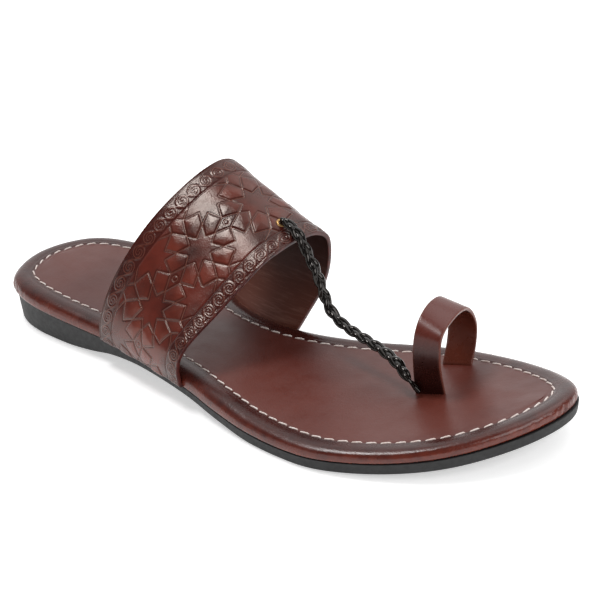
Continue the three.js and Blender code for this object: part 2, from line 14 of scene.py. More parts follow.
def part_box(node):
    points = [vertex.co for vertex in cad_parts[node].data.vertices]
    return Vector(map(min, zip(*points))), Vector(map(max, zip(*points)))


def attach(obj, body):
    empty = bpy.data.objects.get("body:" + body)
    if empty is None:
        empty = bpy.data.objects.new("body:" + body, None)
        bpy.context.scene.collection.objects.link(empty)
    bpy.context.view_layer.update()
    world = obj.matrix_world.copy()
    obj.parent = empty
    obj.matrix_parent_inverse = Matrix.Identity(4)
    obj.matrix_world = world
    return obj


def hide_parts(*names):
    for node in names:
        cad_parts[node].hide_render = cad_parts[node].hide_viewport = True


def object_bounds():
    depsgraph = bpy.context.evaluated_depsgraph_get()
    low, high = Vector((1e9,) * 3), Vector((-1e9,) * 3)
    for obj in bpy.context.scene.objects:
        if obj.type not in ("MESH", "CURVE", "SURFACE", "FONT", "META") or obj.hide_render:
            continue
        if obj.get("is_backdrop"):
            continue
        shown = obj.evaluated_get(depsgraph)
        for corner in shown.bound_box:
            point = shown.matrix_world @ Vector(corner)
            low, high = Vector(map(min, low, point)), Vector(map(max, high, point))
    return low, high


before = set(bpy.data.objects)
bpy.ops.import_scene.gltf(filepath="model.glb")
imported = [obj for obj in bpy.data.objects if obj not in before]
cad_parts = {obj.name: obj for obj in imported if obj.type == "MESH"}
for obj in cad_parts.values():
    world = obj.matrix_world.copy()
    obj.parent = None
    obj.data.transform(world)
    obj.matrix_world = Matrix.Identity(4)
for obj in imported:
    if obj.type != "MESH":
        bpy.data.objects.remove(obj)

CAD_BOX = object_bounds()


def table(names, *rows):
    """A table with one named column for each name, filled from its rows."""
    return dict(zip(names.split(), np.array(rows, float).T))


# Driving sizes of the sole and the footbed, as in the part
LENGTH = 280.0
BALL_WIDTH = 105.6
HEEL_HEIGHT = 14.3
TOE_SPRING = 9.8
PAD_THICKNESS = 7.0
PAD_CROWN = 0.4
STITCH_INSET = 9.6
GROOVE_DEPTH = 0.5
FIELD_DROP = 0.3
HEEL_TAPER = 1.4
SOLE_CORNER = 1.1
SOLE_RIM = 0.35
CLEARANCE = 0.3

# Driving sizes of the band
BAND_THICKNESS = 1.9
BAND_LEAN = 0.2
INSTEP_FRONT = 47.8
INSTEP_BACK = 65.4
TUCK_DEPTH = 8.0
TUCK_FOLD = 1.6

# Driving sizes of the toe ring
RING_THICKNESS = 1.7
RING_WIDTH = 12.4
RING_SPAN = 28.0
RING_HEIGHT = 32.6
RING_ANGLE = 24.0
RING_LEGS_ANGLE = 102.0
RING_FOOT_AT = 0.792
RING_FOOT_INWARD = -0.5

# Outline seen from above: a share of the length, and shares of the ball's width
OUTLINE = table(
    "at inner outer",
    (0.008, 0.120, -0.122),
    (0.030, 0.230, -0.234),
    (0.060, 0.291, -0.288),
    (0.100, 0.328, -0.323),
    (0.150, 0.351, -0.340),
    (0.210, 0.357, -0.347),
    (0.270, 0.327, -0.354),
    (0.330, 0.250, -0.374),
    (0.400, 0.161, -0.412),
    (0.470, 0.127, -0.457),
    (0.540, 0.158, -0.514),
    (0.610, 0.245, -0.560),
    (0.680, 0.341, -0.586),
    (0.740, 0.400, -0.586),
    (0.800, 0.420, -0.544),
    (0.860, 0.408, -0.472),
    (0.910, 0.369, -0.381),
    (0.950, 0.315, -0.266),
    (0.980, 0.246, -0.134),
    (0.995, 0.172, -0.020),
)
TOE_CENTRE = 0.083

# Seen from the side, at shares of the length: shares of the heel's height, of the toe's
# spring, of the pad's thickness and of the stitches' inset
SIDE = table(
    "at seat lift pad lip",
    (0.00, 1.000, 0.00, 1.02, 0.17),
    (0.10, 0.925, 0.00, 0.99, 0.15),
    (0.18, 0.830, 0.00, 0.91, 0.13),
    (0.23, 0.770, 0.12, 0.87, 0.11),
    (0.28, 0.710, 0.34, 0.86, 0.10),
    (0.35, 0.620, 0.45, 0.94, 0.09),
    (0.45, 0.540, 0.37, 1.01, 0.07),
    (0.55, 0.410, 0.16, 0.98, 0.06),
    (0.62, 0.335, 0.00, 0.84, 0.05),
    (0.71, 0.333, 0.00, 0.74, 0.05),
    (0.79, 0.408, 0.10, 0.70, 0.05),
    (0.86, 0.530, 0.28, 0.72, 0.03),
    (0.92, 0.700, 0.52, 0.78, 0.00),
    (0.97, 0.895, 0.81, 0.83, -0.04),
    (1.00, 1.020, 1.00, 0.86, -0.07),
)

# The pad's rolled edge from its base up: shares of the stitches' inset and of its height
ROLL = table(
    "inset rise",
    (0.08, 0.00),
    (0.02, 0.10),
    (0.00, 0.30),
    (0.03, 0.55),
    (0.14, 0.78),
    (0.34, 0.94),
    (0.58, 0.99),
    (0.82, 0.97),
)

# The stitches' groove, from the roll to the field: a share of the stitches' inset, the
# drop from the pad's top, and how much of the roll's colour shows, there the painted shade of the
# roll's top
GROOVE = table(
    "inset drop shown",
    (0.88, 0.12, 1.0),
    (0.925, 0.24, 1.0),
    (0.96, 0.42, 0.9),
    (0.985, 0.5, 0.7),
    (1.015, 0.5, 0.5),
    (1.05, 0.42, 0.3),
    (1.09, 0.33, 0.12),
    (1.14, 0.3, 0.0),
    (1.22, 0.3, 0.0),
)

# Arcs of the band's edges from its outer foot to its inner one: shares of the way across
# and of the instep's height
BAND_ARCS = table(
    "back_across back_up front_across front_up",
    (0.000, 0.00, 0.000, 0.00),
    (-0.008, 0.10, -0.024, 0.13),
    (0.005, 0.20, -0.018, 0.25),
    (0.040, 0.32, 0.031, 0.35),
    (0.112, 0.47, 0.120, 0.44),
    (0.235, 0.64, 0.260, 0.56),
    (0.391, 0.79, 0.430, 0.72),
    (0.590, 0.92, 0.620, 0.89),
    (0.760, 0.99, 0.800, 0.97),
    (0.890, 1.00, 0.950, 1.00),
    (1.000, 0.93, 1.090, 0.98),
    (1.070, 0.78, 1.190, 0.87),
    (1.100, 0.56, 1.225, 0.61),
    (1.085, 0.33, 1.190, 0.37),
    (1.035, 0.14, 1.085, 0.16),
    (1.000, 0.00, 1.000, 0.00),
)
BAND_FEET = {"outer": (0.270, 0.462), "inner": (0.307, 0.500)}
BAND_FOOT_RISE = 0.12
BAND_FOOT_SHARE = 0.125

# Arcs of the ring's edges from its near leg to its far one, in the same shares
RING_ARCS = table(
    "back_across back_up front_across front_up",
    (0.00, 0.00, 0.00, 0.00),
    (-0.04, 0.25, -0.09, 0.22),
    (-0.05, 0.50, -0.16, 0.44),
    (-0.02, 0.70, -0.16, 0.64),
    (0.06, 0.84, -0.10, 0.79),
    (0.21, 0.95, 0.06, 0.87),
    (0.43, 1.01, 0.30, 0.90),
    (0.68, 1.01, 0.58, 0.90),
    (0.93, 0.95, 0.86, 0.84),
    (1.15, 0.80, 1.08, 0.68),
    (1.25, 0.58, 1.21, 0.46),
    (1.18, 0.26, 1.16, 0.22),
    (1.00, 0.00, 1.00, 0.00),
)

# The braid's route: shares of its run from the eyelet to the ring, of its fall, and of
# the run for how far it goes aside
BRAID_ROUTE = table(
    "run fall aside",
    (0.000, 0.000, 0.000),
    (0.050, 0.025, 0.000),
    (0.085, 0.045, 0.000),
    (0.110, 0.068, 0.000),
    (0.135, 0.104, 0.000),
    (0.165, 0.165, 0.000),
    (0.200, 0.245, 0.000),
    (0.240, 0.320, 0.000),
    (0.275, 0.420, 0.000),
    (0.310, 0.540, 0.000),
    (0.350, 0.635, 0.000),
    (0.420, 0.700, 0.000),
    (0.520, 0.737, 0.000),
    (0.640, 0.760, 0.000),
    (0.770, 0.792, -0.002),
    (0.880, 0.828, -0.019),
    (0.950, 0.880, -0.034),
    (1.000, 1.000, 0.000),
)

# How finely the sole and the footbed are made
OUTLINE_STEPS = 16
PAD_BASE_INSET = 0.3
PAD_BASE_LOOPS = 3
ROLL_LOOPS = 34
FIELD_LOOPS = 26
SOLE_UNDER_LOOPS = 6
SOLE_CORNER_LOOPS = 6
SOLE_WALL_LOOPS = (0.5, 0.7, 0.85, 0.93, 0.98)
SOLE_TOP_LOOPS = 4

# Wrinkles of the roll: widths are shares of the way round and places shares of the length,
# and they fade out over a run of the roll's rows
WRINKLES = 240
WRINKLE_SEED = 4
WRINKLE_DEPTH = 0.34
WRINKLE_WIDTHS = (0.0006, 0.0022)
WRINKLE_STRENGTHS = (0.3, 1)
WRINKLE_ENDS = 0.12
WRINKLE_TOE = 0.86
WRINKLE_SIDES = 0.12
WRINKLE_RUN = 4.2
WRINKLE_FADE = 1.5
# Shares of the roll's rows over which its painted light on the outer face turns to painted shade on
# its top
ROLL_LIT_TO_SHADED = (0.3, 0.8)

# The braid. At a pinched end it narrows to a share, over a share of its length.
BRAID_ROWS = 520
BRAID_STEPS = 40
STRANDS = 3
STRAND_RADIUS = 1.3
STRAND_SIDES = 14
STRAND_FLATNESS = 0.7
STRAND_THINNEST = 0.4
BRAID_SWING = 1.4
BRAID_DEPTH = 0.65
BRAID_PITCH = 21.0
BRAID_END_BACK = 4.0
BRAID_PINCHED_START = (0.3, 0.09)
BRAID_PINCHED_END = (0.62, 0.16)
BRAID_OVER = 0.75
BRAID_SUNK = 0.2

# The eyelet in the band
EYELET_HOLE = 1.1
EYELET_BARREL = 1.7
EYELET_FLANGE = 2.4
EYELET_RIM = 0.6
EYELET_SEAT = 0.1
EYELET_UNDER = 0.15
EYELET_TAIL = 0.3
EYELET_SIDES = 48
EYELET_RIM_POINTS = 12
EYELET_FROM_FRONT = 10.8
EYELET_AROUND = 0.576

# Seam of thick thread round the footbed
STITCH_PITCH = 5.8
STITCH_LENGTH = 5.2
STITCH_RADIUS = 0.38
STITCH_SLANT = 11.0
STITCH_SUNK = 0.2
STITCH_DIVE = 1.3
STITCH_THINNING = 0.45
STITCH_ROWS = 13
STITCH_SIDES = 9
THREAD_PLIES = 3
THREAD_PLY_DEPTH = 0.09
THREAD_PLY_PITCH = 1.5

# Embossing of the band. The pattern repeats along the band, and its four quarters are
# alike, so the lines of one quarter are enough. Places are from the middle of a star.
STAR_SPACING = 32.0
STAR_FIRST = 57.2
STAR_ACROSS = 0.8
FIELD_HALF = 19.3
STAR_POINT = (9.2, 0.0)
STAR_NOTCH_LOW = (5.5, 2.3)
STAR_DIAGONAL = (8.1, 7.6)
STAR_NOTCH_HIGH = (2.2, 4.9)
STAR_TOP = (0.0, 9.3)
PETAL_MEETING = (16.0, 3.2)
PETAL_CORNER_LOW = (13.2, 9.9)
PETAL_CORNER_HIGH = (10.5, 13.0)
PETAL_TOP = (3.6, 15.9)
KITE_END = (1.5, 19.3)
FIELD_TIP = (9.4, 19.3)
DOT_RADIUS = 1.25

# Relief of the embossing: heights, half widths of lines and runs of steps
LINE_HALF = 0.3
# Half width of the painted shade beside a line
LINE_SHADE = 0.85
LINE_DEPTH = 0.17
STEP_RISE = 0.18
STEP_RUN = 0.5
PETAL_RISE = 0.26
PETAL_ROUND = 5.0
KITE_SHARE = 0.6
DIAMOND_SHARE = 0.5
BORDER_HALF = 0.3
BORDER_SOFT = 0.5
BORDER_DEPTH = 0.25
CREASE_INSET = 0.9
CREASE_HALF = 0.3
CREASE_DEPTH = 0.15
RIM_RUN = 0.7

# Running scrolls in the band's two borders: an arm draws in by its turn with each radian,
# and each border has the place of one of its scrolls, along and across the band
SCROLL_PITCH = 6.7
SCROLL_RADIUS = 2.95
SCROLL_TURN = 0.37
SCROLL_EYE = 0.25
SCROLL_LINK_POINTS = 13
SCROLL_HEIGHT = 0.22
SCROLL_HALF = 0.34
# Share of the lines' painted highlight that the scrolls get
SCROLL_HIGHLIGHT = 0.8
SCROLL_FRONT = (40.6, 24.3)
SCROLL_BACK = (59.2, -22.3)

# How finely the band is made, and the heights over which painted shade darkens its lining towards
# the top
BAND_ROWS = 520
BAND_COLUMNS = 178
TUCK_ROWS = 6
EDGE_BULGE = 0.22
EDGE_POINTS = 9
LINING_STEP = 4
LINING_UNSHADED_TO = 12
LINING_SHADE_FADE = 22

# How finely the ring is made, and the heights over which painted light makes it paler towards its
# top
RING_ROWS = 190
RING_COLUMNS = 5
RING_CORNER = 0.6
RING_CORNER_POINTS = 5
RING_ACROSS_POINTS = 18
RING_LEGS_SUNK = 2.5
RING_EDGE_SOFT = 0.4
RING_PAINTED_LIGHT = (25, 42)

# The photograph's camera, with its focal length in pixels
CAMERA_FOCAL = 2141.7
CAMERA_AZIMUTH = 39.79
CAMERA_ELEVATION = 25.59
CAMERA_ROLL = -3.19
CAMERA_PLACE = (670.5, -618.3, 420.8)
CAMERA_REACH = 50
PHOTO_SIZE = 600
SENSOR = 36.0

# The studio. A light has its name, its place and size in metres and its power in watts.
FLOOR_HALF = 6.0
FLOOR_GLOW = 0.5
WALL_WAY = (-0.62, 0.74, 0.26)
WALL_EDGE = (0.3, 0.95)
WALL_STRENGTH = (0.14, 1.0)
LIGHTS = (
    ("overhead", (-0.4, -0.08, 1.2), (0.34, 0.34), 6.5),
    ("side", (-0.5, -1.5, 0.4), (1.6, 0.8), 5),
    ("toe", (1.5, 0.1, 1.0), (1.4, 1.0), 16),
    ("fill", (0.3, 0.9, 1.5), (1.6, 1.2), 7),
)

# Points closer than this, in metres, are one point
MERGE_WITHIN = 1e-6


def smoothstep(value, low, high):
    """A share from 0 at low to 1 at high, soft at both ends."""
    t = np.clip((value - low) / (high - low), 0, 1)
    return t * t * (3 - 2 * t)


def bell(away, half):
    """A share that is 1 at no distance and falls off on both sides."""
    return np.exp(-((away / half) ** 2))


def unit(vectors):
    return vectors / np.linalg.norm(vectors, axis=-1, keepdims=True)


def turned(degrees):
    """Level way that is turned from x towards y."""
    angle = np.radians(degrees)
    return np.array([np.cos(angle), np.sin(angle), 0.0])


def run_along(line):
    """Distance of each point of a line from its start."""
    return np.concatenate([[0], np.cumsum(np.linalg.norm(np.diff(line, axis=0), axis=1))])


def bend(t, start, leaving, end, arriving):
    """Smooth course from one value to another, with a slope at each of them."""
    return (
        start * (2 * t**3 - 3 * t**2 + 1)
        + leaving * (t**3 - 2 * t**2 + t)
        + end * (3 * t**2 - 2 * t**3)
        + arriving * (t**3 - t**2)
    )


def follow(rows, place, column, value):
    """Smooth value of one column of a table at places between its rows."""
    at, height = rows[place], rows[column]
    last = len(at) - 1
    before = np.maximum(np.arange(last + 1) - 1, 0)
    after = np.minimum(np.arange(last + 1) + 1, last)
    slope = (height[after] - height[before]) / (at[after] - at[before])
    value = np.asarray(value, float)
    i = np.clip(np.searchsorted(at, value, side="left") - 1, 0, last - 1)
    span = at[i + 1] - at[i]
    t = np.clip((value - at[i]) / span, 0, 1)
    return bend(t, height[i], slope[i] * span, height[i + 1], slope[i + 1] * span)


def along_rows(rows, column, place):
    """Smooth value of one column of a table at places counted in its rows."""
    return follow({"row": np.arange(float(len(rows[column]))), **rows}, "row", column, place)


def side(x, column):
    """Share from the side view's table at a distance from the heel."""
    return follow(SIDE, "at", column, np.asarray(x) / LENGTH)


def seat_height(x):
    return HEEL_HEIGHT * side(x, "seat")


def pad_height(x):
    return PAD_THICKNESS * side(x, "pad")


def lift_height(x):
    return np.maximum(TOE_SPRING * side(x, "lift"), 0)


def lip_inset(x):
    return STITCH_INSET * side(x, "lip")


def pad_base(x):
    return seat_height(x) + CLEARANCE


def pad_top(x):
    return pad_base(x) + pad_height(x)


def field_top(x):
    return pad_top(x) - FIELD_DROP


def smooth_line(points, steps, closed):
    """Centripetal curve through points, with the same number of steps between each two."""
    points = np.asarray(points, float)
    if closed:
        around = [np.roll(points, -k, axis=0) for k in (-1, 0, 1, 2)]
    else:
        before = 2 * points[0] - points[1]
        after = 2 * points[-1] - points[-2]
        padded = np.vstack([before, points, after])
        around = [padded[k : k + len(points) - 1] for k in range(4)]
    p0, p1, p2, p3 = around
    pairs = ((p0, p1), (p1, p2), (p2, p3))
    d0, d1, d2 = (np.sqrt(np.linalg.norm(b - a, axis=1))[:, None] for a, b in pairs)
    m1 = d1 * ((p1 - p0) / d0 - (p2 - p0) / (d0 + d1) + (p2 - p1) / d1)
    m2 = d1 * ((p2 - p1) / d1 - (p3 - p1) / (d1 + d2) + (p3 - p2) / d2)
    t = (np.arange(steps) / steps)[None, :, None]
    line = bend(t, *(a[:, None, :] for a in (p1, m1, p2, m2))).reshape(-1, points.shape[1])
    return line if closed else np.vstack([line, points[-1]])


def make_outline():
    """The outline as a closed line of points, and the way out at each of them."""
    inner = np.column_stack([OUTLINE["at"] * LENGTH, OUTLINE["inner"] * BALL_WIDTH])
    outer = np.column_stack([OUTLINE["at"] * LENGTH, OUTLINE["outer"] * BALL_WIDTH])
    toe = [LENGTH, TOE_CENTRE * BALL_WIDTH]
    line = smooth_line(np.vstack([[0, 0], inner, toe, outer[::-1]]), OUTLINE_STEPS, closed=True)
    ahead = unit(np.roll(line, -1, axis=0) - np.roll(line, 1, axis=0))
    return line, np.column_stack([-ahead[:, 1], ahead[:, 0]])


OUTLINE_LINE, OUTLINE_OUT = make_outline()


def edge_place(at, which):
    """Place on one side at a share of the length, and the way out there."""
    half = len(OUTLINE_LINE) // 2
    if which == "inner":
        line, out = OUTLINE_LINE[: half + 1], OUTLINE_OUT[: half + 1]
    else:
        line = np.vstack([OUTLINE_LINE[half:], OUTLINE_LINE[:1]])[::-1]
        out = np.vstack([OUTLINE_OUT[half:], OUTLINE_OUT[:1]])[::-1]
    x = np.asarray(at) * LENGTH
    point = np.stack([x, np.interp(x, line[:, 0], line[:, 1])], axis=-1)
    outward = np.stack([np.interp(x, line[:, 0], out[:, k]) for k in (0, 1)], axis=-1)
    return point, unit(outward)


def band_foot(share, which):
    """Where the band's middle surface bends in, the way out there and the pad's base."""
    start, end = BAND_FEET[which]
    point, outward = edge_place(start + (end - start) * np.asarray(share, float), which)
    foot = point + outward * (CLEARANCE + BAND_THICKNESS / 2)
    x = point[..., 0]
    z = pad_base(x) + pad_height(x) * BAND_FOOT_RISE + BAND_THICKNESS
    return np.concatenate([foot, z[..., None]], axis=-1), outward, pad_base(x)


def arch_point(rows, name, u, start, end, height, lean):
    """Points at shares u of an arc of a table, which stands between two feet."""
    place = u * (len(rows[f"{name}_up"]) - 1)
    across = along_rows(rows, f"{name}_across", place)
    up = along_rows(rows, f"{name}_up", place) * height
    point = start + (end - start) * across[..., None]
    return point + np.stack([lean * up, 0 * up, up], axis=-1)


def band_edge(name, v, u, height):
    """Arc of the band's back or front edge between its feet."""
    feet = [band_foot(v, which)[0] for which in ("outer", "inner")]
    return arch_point(BAND_ARCS, name, u, *feet, height, BAND_LEAN)


def band_point(u, v):
    """Middle surface of the band, u across the foot and v from back to front.

    Near its feet it follows the outline instead of a straight line.
    """
    back = band_edge("back", 0.0, u, INSTEP_BACK)
    front = band_edge("front", 1.0, u, INSTEP_FRONT)
    point = back + (front - back) * v[..., None]
    for which, near in (("outer", u), ("inner", 1 - u)):
        first, last = (band_foot(end, which)[0] for end in (0.0, 1.0))
        straight = first + (last - first) * v[..., None]
        share = np.maximum(1 - near / BAND_FOOT_SHARE, 0) ** 2
        point = point + (band_foot(v, which)[0] - straight) * share[..., None]
    return point


def at_band(u, v):
    """One point of the band's middle surface."""
    return band_point(np.array([float(u)]), np.array([float(v)]))[0]


def ring_foot():
    """Middle of the ring's near leg, where it leaves the footbed."""
    x = RING_FOOT_AT * LENGTH
    return np.array([x, RING_FOOT_INWARD, field_top(x)])


def ring_point(u, v):
    """Middle surface of the ring, u from its near leg and v from back to front."""
    half = turned(RING_ANGLE) * RING_WIDTH / 2
    near = ring_foot()
    far = near + turned(RING_LEGS_ANGLE) * RING_SPAN
    back = arch_point(RING_ARCS, "back", u, near - half, far - half, RING_HEIGHT, 0)
    front = arch_point(RING_ARCS, "front", u, near + half, far + half, RING_HEIGHT, 0)
    return back + (front - back) * v[..., None]


def surface_normals(grid):
    return unit(np.cross(np.gradient(grid, axis=0), np.gradient(grid, axis=1)))


def frame_shift():
    """From the sandal's own millimetres to the frame's: the footbed's outline fits its box."""
    low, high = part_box("footbed")
    middle = (np.array(low) + np.array(high)) / 2 * 1000
    own = (OUTLINE_LINE.min(0) + OUTLINE_LINE.max(0)) / 2
    return np.array([middle[0] - own[0], middle[1] - own[1], 0.0])


SHIFT = frame_shift()


def to_metres(points):
    return (np.asarray(points, float) + SHIFT) / 1000


def grid_faces(rows, columns, closed=False):
    """Quads of a grid of points, whose columns may close on themselves."""
    across = columns if closed else columns - 1
    i, j = np.meshgrid(np.arange(rows - 1), np.arange(across), indexing="ij")
    k = (j + 1) % columns
    here, after = i * columns, (i + 1) * columns
    return np.stack([here + j, after + j, after + k, here + k], axis=-1).reshape(-1, 4)


def tube_points(line, reach, turn, aside, up):
    """Rings of points round a line, at turns between its ways aside and up."""
    wide = (reach * np.cos(turn))[..., None] * aside
    high = (reach * np.sin(turn))[..., None] * up
    return (line[:, None] + wide + high).reshape(-1, 3)


def tube_faces(rows, sides, count=1):
    """Quads and end caps of several tubes, each with rows of rings of points."""
    one = grid_faces(rows, sides, closed=True)
    faces = []
    for k in range(count):
        start = k * rows * sides
        faces.extend((one + start).tolist())
        faces.append([start + j for j in range(sides)])
        faces.append([start + (rows - 1) * sides + j for j in range(sides - 1, -1, -1)])
    return faces


def make_object(name, data):
    item = bpy.data.objects.new(name, data)
    bpy.context.scene.collection.objects.link(item)
    return item


def make_piece(name, points, faces, surface, slot, replaced=(), marks=None, merge=False):
    """A smooth mesh of points in millimetres that rides on the sandal's one body."""
    mesh = bpy.data.meshes.new(name)
    mesh.from_pydata(to_metres(points).tolist(), [], [list(map(int, face)) for face in faces])
    for label, values in (marks or {}).items():
        layer = mesh.attributes.new(label, "FLOAT", "POINT")
        layer.data.foreach_set("value", np.asarray(values, np.float32).ravel())
    if merge:
        work = bmesh.new()
        work.from_mesh(mesh)
        bmesh.ops.remove_doubles(work, verts=work.verts, dist=MERGE_WITHIN)
        bmesh.ops.recalc_face_normals(work, faces=work.faces)
        work.to_mesh(mesh)
        work.free()
    mesh.shade_smooth()
    mesh.materials.append(surface)
    piece = make_object(name, mesh)
    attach(piece, "root")
    if replaced:
        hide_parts(*replaced)
    return piece


def make_surface(name, color, roughness, **settings):
    """A material with its constants on the shader's own sockets."""
    surface = bpy.data.materials.new(name)
    surface.use_nodes = True
    shader = surface.node_tree.nodes["Principled BSDF"]
    shader.inputs["Base Color"].default_value = (*color, 1)
    shader.inputs["Roughness"].default_value = roughness
    for socket, value in settings.items():
        shader.inputs[socket.replace("_", " ")].default_value = value
    return surface, surface.node_tree, shader


def add(tree, kind, **inputs):
    """A new node, with its own settings and the constants of its sockets."""
    node = tree.nodes.new(kind)
    for name, value in inputs.items():
        if hasattr(node, name):
            setattr(node, name, value)
        else:
            node.inputs[name.replace("_", " ")].default_value = value
    return node


def give(tree, shader, **sockets):
    """Links sockets to the shader's inputs of the same names."""
    for name, socket in sockets.items():
        tree.links.new(socket, shader.inputs[name.replace("_", " ")])


def own_place(tree):
    return add(tree, "ShaderNodeTexCoord").outputs["Object"]


def noise(tree, size, detail, roughness=0.55):
    """Noise with patches of about the given size, in millimetres."""
    node = add(tree, "ShaderNodeTexNoise", Scale=1000 / size, Detail=detail, Roughness=roughness)
    tree.links.new(own_place(tree), node.inputs["Vector"])
    return node.outputs["Fac"]


def cells(tree, size):
    """Distance from the middles of cells of about the given size, in millimetres."""
    node = add(tree, "ShaderNodeTexVoronoi", Scale=1000 / size)
    tree.links.new(own_place(tree), node.inputs["Vector"])
    return node.outputs["Distance"]


def ramp(tree, value, low, high, start=0.0, end=1.0):
    """A socket that goes from start to end while the value goes from low to high."""
    node = add(tree, "ShaderNodeMapRange", From_Min=low, From_Max=high, To_Min=start, To_Max=end)
    tree.links.new(value, node.inputs["Value"])
    return node.outputs["Result"]


def mix(tree, share, first, second):
    """Colour between two colours or sockets, by a share that is a socket."""
    node = add(tree, "ShaderNodeMix", data_type="RGBA")
    tree.links.new(share, node.inputs["Factor"])
    for socket, color in (("A", first), ("B", second)):
        target = next(s for s in node.inputs if s.name == socket and s.type == "RGBA")
        if isinstance(color, tuple):
            target.default_value = (*color, 1)
        else:
            tree.links.new(color, target)
    return next(s for s in node.outputs if s.type == "RGBA")


def bump(tree, shader, *layers):
    """Relief from several heights: each layer is a socket, its height in mm and its share."""
    before = None
    for height, depth, strength in layers:
        node = add(tree, "ShaderNodeBump", Strength=strength, Distance=depth / 1000)
        tree.links.new(height, node.inputs["Height"])
        if before is not None:
            tree.links.new(before, node.inputs["Normal"])
        before = node.outputs["Normal"]
    tree.links.new(before, shader.inputs["Normal"])


def mark(tree, name):
    """What make_piece wrote on the mesh's points under a name."""
    return add(tree, "ShaderNodeAttribute", attribute_name=name).outputs["Fac"]


def difference(tree, first, second):
    node = add(tree, "ShaderNodeMath", operation="SUBTRACT")
    tree.links.new(first, node.inputs[0])
    tree.links.new(second, node.inputs[1])
    return node.outputs[0]


def footbed_surface():
    """Worn red leather with pores; painted shade darkens the top of the roll, and painted light
    brightens its outer face.
    """
    surface, tree, shader = make_surface("footbed_leather", (0.15, 0.035, 0.022), 0.4)
    on_roll = mark(tree, "roll")
    clouds = ramp(tree, noise(tree, 60, 3), 0.35, 0.65)
    patches = ramp(tree, noise(tree, 7, 6), 0.3, 0.7)
    field = mix(tree, clouds, (0.09, 0.0165, 0.0105), (0.125, 0.026, 0.0165))
    # Painted light on the roll: painted shade on its top, a painted lit tone on its outer face
    roll_painted_shade = mix(tree, patches, (0.032, 0.005, 0.0035), (0.06, 0.01, 0.0065))
    roll_painted_light = mix(tree, patches, (0.07, 0.01, 0.006), (0.16, 0.028, 0.014))
    roll = mix(tree, mark(tree, "outer"), roll_painted_shade, roll_painted_light)
    pore = mix(tree, on_roll, (0.045, 0.009, 0.006), (0.02, 0.003, 0.002))
    pores = ramp(tree, cells(tree, 0.55), 0.05, 0.3)
    color = mix(tree, pores, pore, mix(tree, on_roll, field, roll))
    dull = ramp(tree, noise(tree, 9, 5), 0.3, 0.7, 0.34, 0.46)
    polish = ramp(tree, on_roll, 0.0, 1.0, 0.0, 0.14)
    give(tree, shader, Base_Color=color, Roughness=difference(tree, dull, polish))
    pits = (cells(tree, 0.6), 0.1, 0.35)
    grain = (noise(tree, 2.2, 6), 0.12, 0.35)
    waves = (noise(tree, 14, 2), 0.5, 0.2)
    bump(tree, shader, pits, grain, waves)
    return surface


def band_surface():
    """Glossy red leather whose embossed lines get a painted highlight along their middles and
    painted shade beside them.
    """
    surface, tree, shader = make_surface("band_leather", (0.06, 0.009, 0.006), 0.28)
    shader.inputs["Specular Tint"].default_value = (1.0, 0.88, 0.8, 1)
    clouds = ramp(tree, noise(tree, 24, 3), 0.36, 0.62)
    ground = mix(tree, clouds, (0.03, 0.0035, 0.0025), (0.115, 0.018, 0.011))
    top = mix(tree, clouds, (0.042, 0.0055, 0.0037), (0.14, 0.025, 0.015))
    color = mix(tree, mark(tree, "raised"), ground, top)
    border = ramp(tree, mark(tree, "border"), 0.0, 1.0, 0.0, 0.8)
    # Painted shade beside the lines, and a painted highlight along their middles
    painted_line_shade = ramp(tree, mark(tree, "shade"), 0.2, 1.0, 0.0, 0.75)
    painted_line_highlight = ramp(tree, mark(tree, "line"), 0.45, 1.0, 0.0, 0.5)
    color = mix(tree, border, color, (0.035, 0.004, 0.003))
    color = mix(tree, painted_line_shade, color, (0.02, 0.0025, 0.002))
    color = mix(tree, painted_line_highlight, color, (0.3, 0.1, 0.065))
    gloss = ramp(tree, noise(tree, 5, 6), 0.3, 0.7, 0.17, 0.29)
    give(tree, shader, Base_Color=color, Roughness=gloss)
    pits = (cells(tree, 0.5), 0.1, 0.3)
    grain = (noise(tree, 1.6, 6), 0.12, 0.35)
    waves = (noise(tree, 11, 2), 0.4, 0.2)
    bump(tree, shader, pits, grain, waves)
    return surface


def lining_surface():
    """Worn inner side of the band: streaks along it, and painted shade that darkens it away from
    the footbed, towards its top.
    """
    base = (0.1, 0.035, 0.025)
    surface, tree, shader = make_surface("band_lining", base, 0.5, Specular_IOR_Level=0.25)
    stretch = add(tree, "ShaderNodeMapping", Scale=(60, 90, 900))
    tree.links.new(own_place(tree), stretch.inputs["Vector"])
    streaks = add(tree, "ShaderNodeTexNoise", Scale=1.0, Detail=6.0, Roughness=0.7)
    tree.links.new(stretch.outputs["Vector"], streaks.inputs["Vector"])
    wear = ramp(tree, streaks.outputs["Fac"], 0.5, 0.75)
    worn = mix(tree, wear, (0.15, 0.045, 0.028), (0.25, 0.11, 0.08))
    # Painted shade: the lining darkens above the footbed, and its low part shows the worn streaks
    give(tree, shader, Base_Color=mix(tree, mark(tree, "low"), (0.022, 0.006, 0.004), worn))
    bump(tree, shader, (streaks.outputs["Fac"], 0.12, 0.2), (noise(tree, 1.2, 5), 0.1, 0.3))
    return surface


def edge_surface():
    """Cut edges of the band, dyed dark red."""
    surface, tree, shader = make_surface("band_edge", (0.05, 0.009, 0.007), 0.4)
    patches = ramp(tree, noise(tree, 3, 4), 0.35, 0.65)
    give(tree, shader, Base_Color=mix(tree, patches, (0.035, 0.005, 0.004), (0.1, 0.02, 0.015)))
    bump(tree, shader, (noise(tree, 0.9, 4), 0.1, 0.3))
    return surface


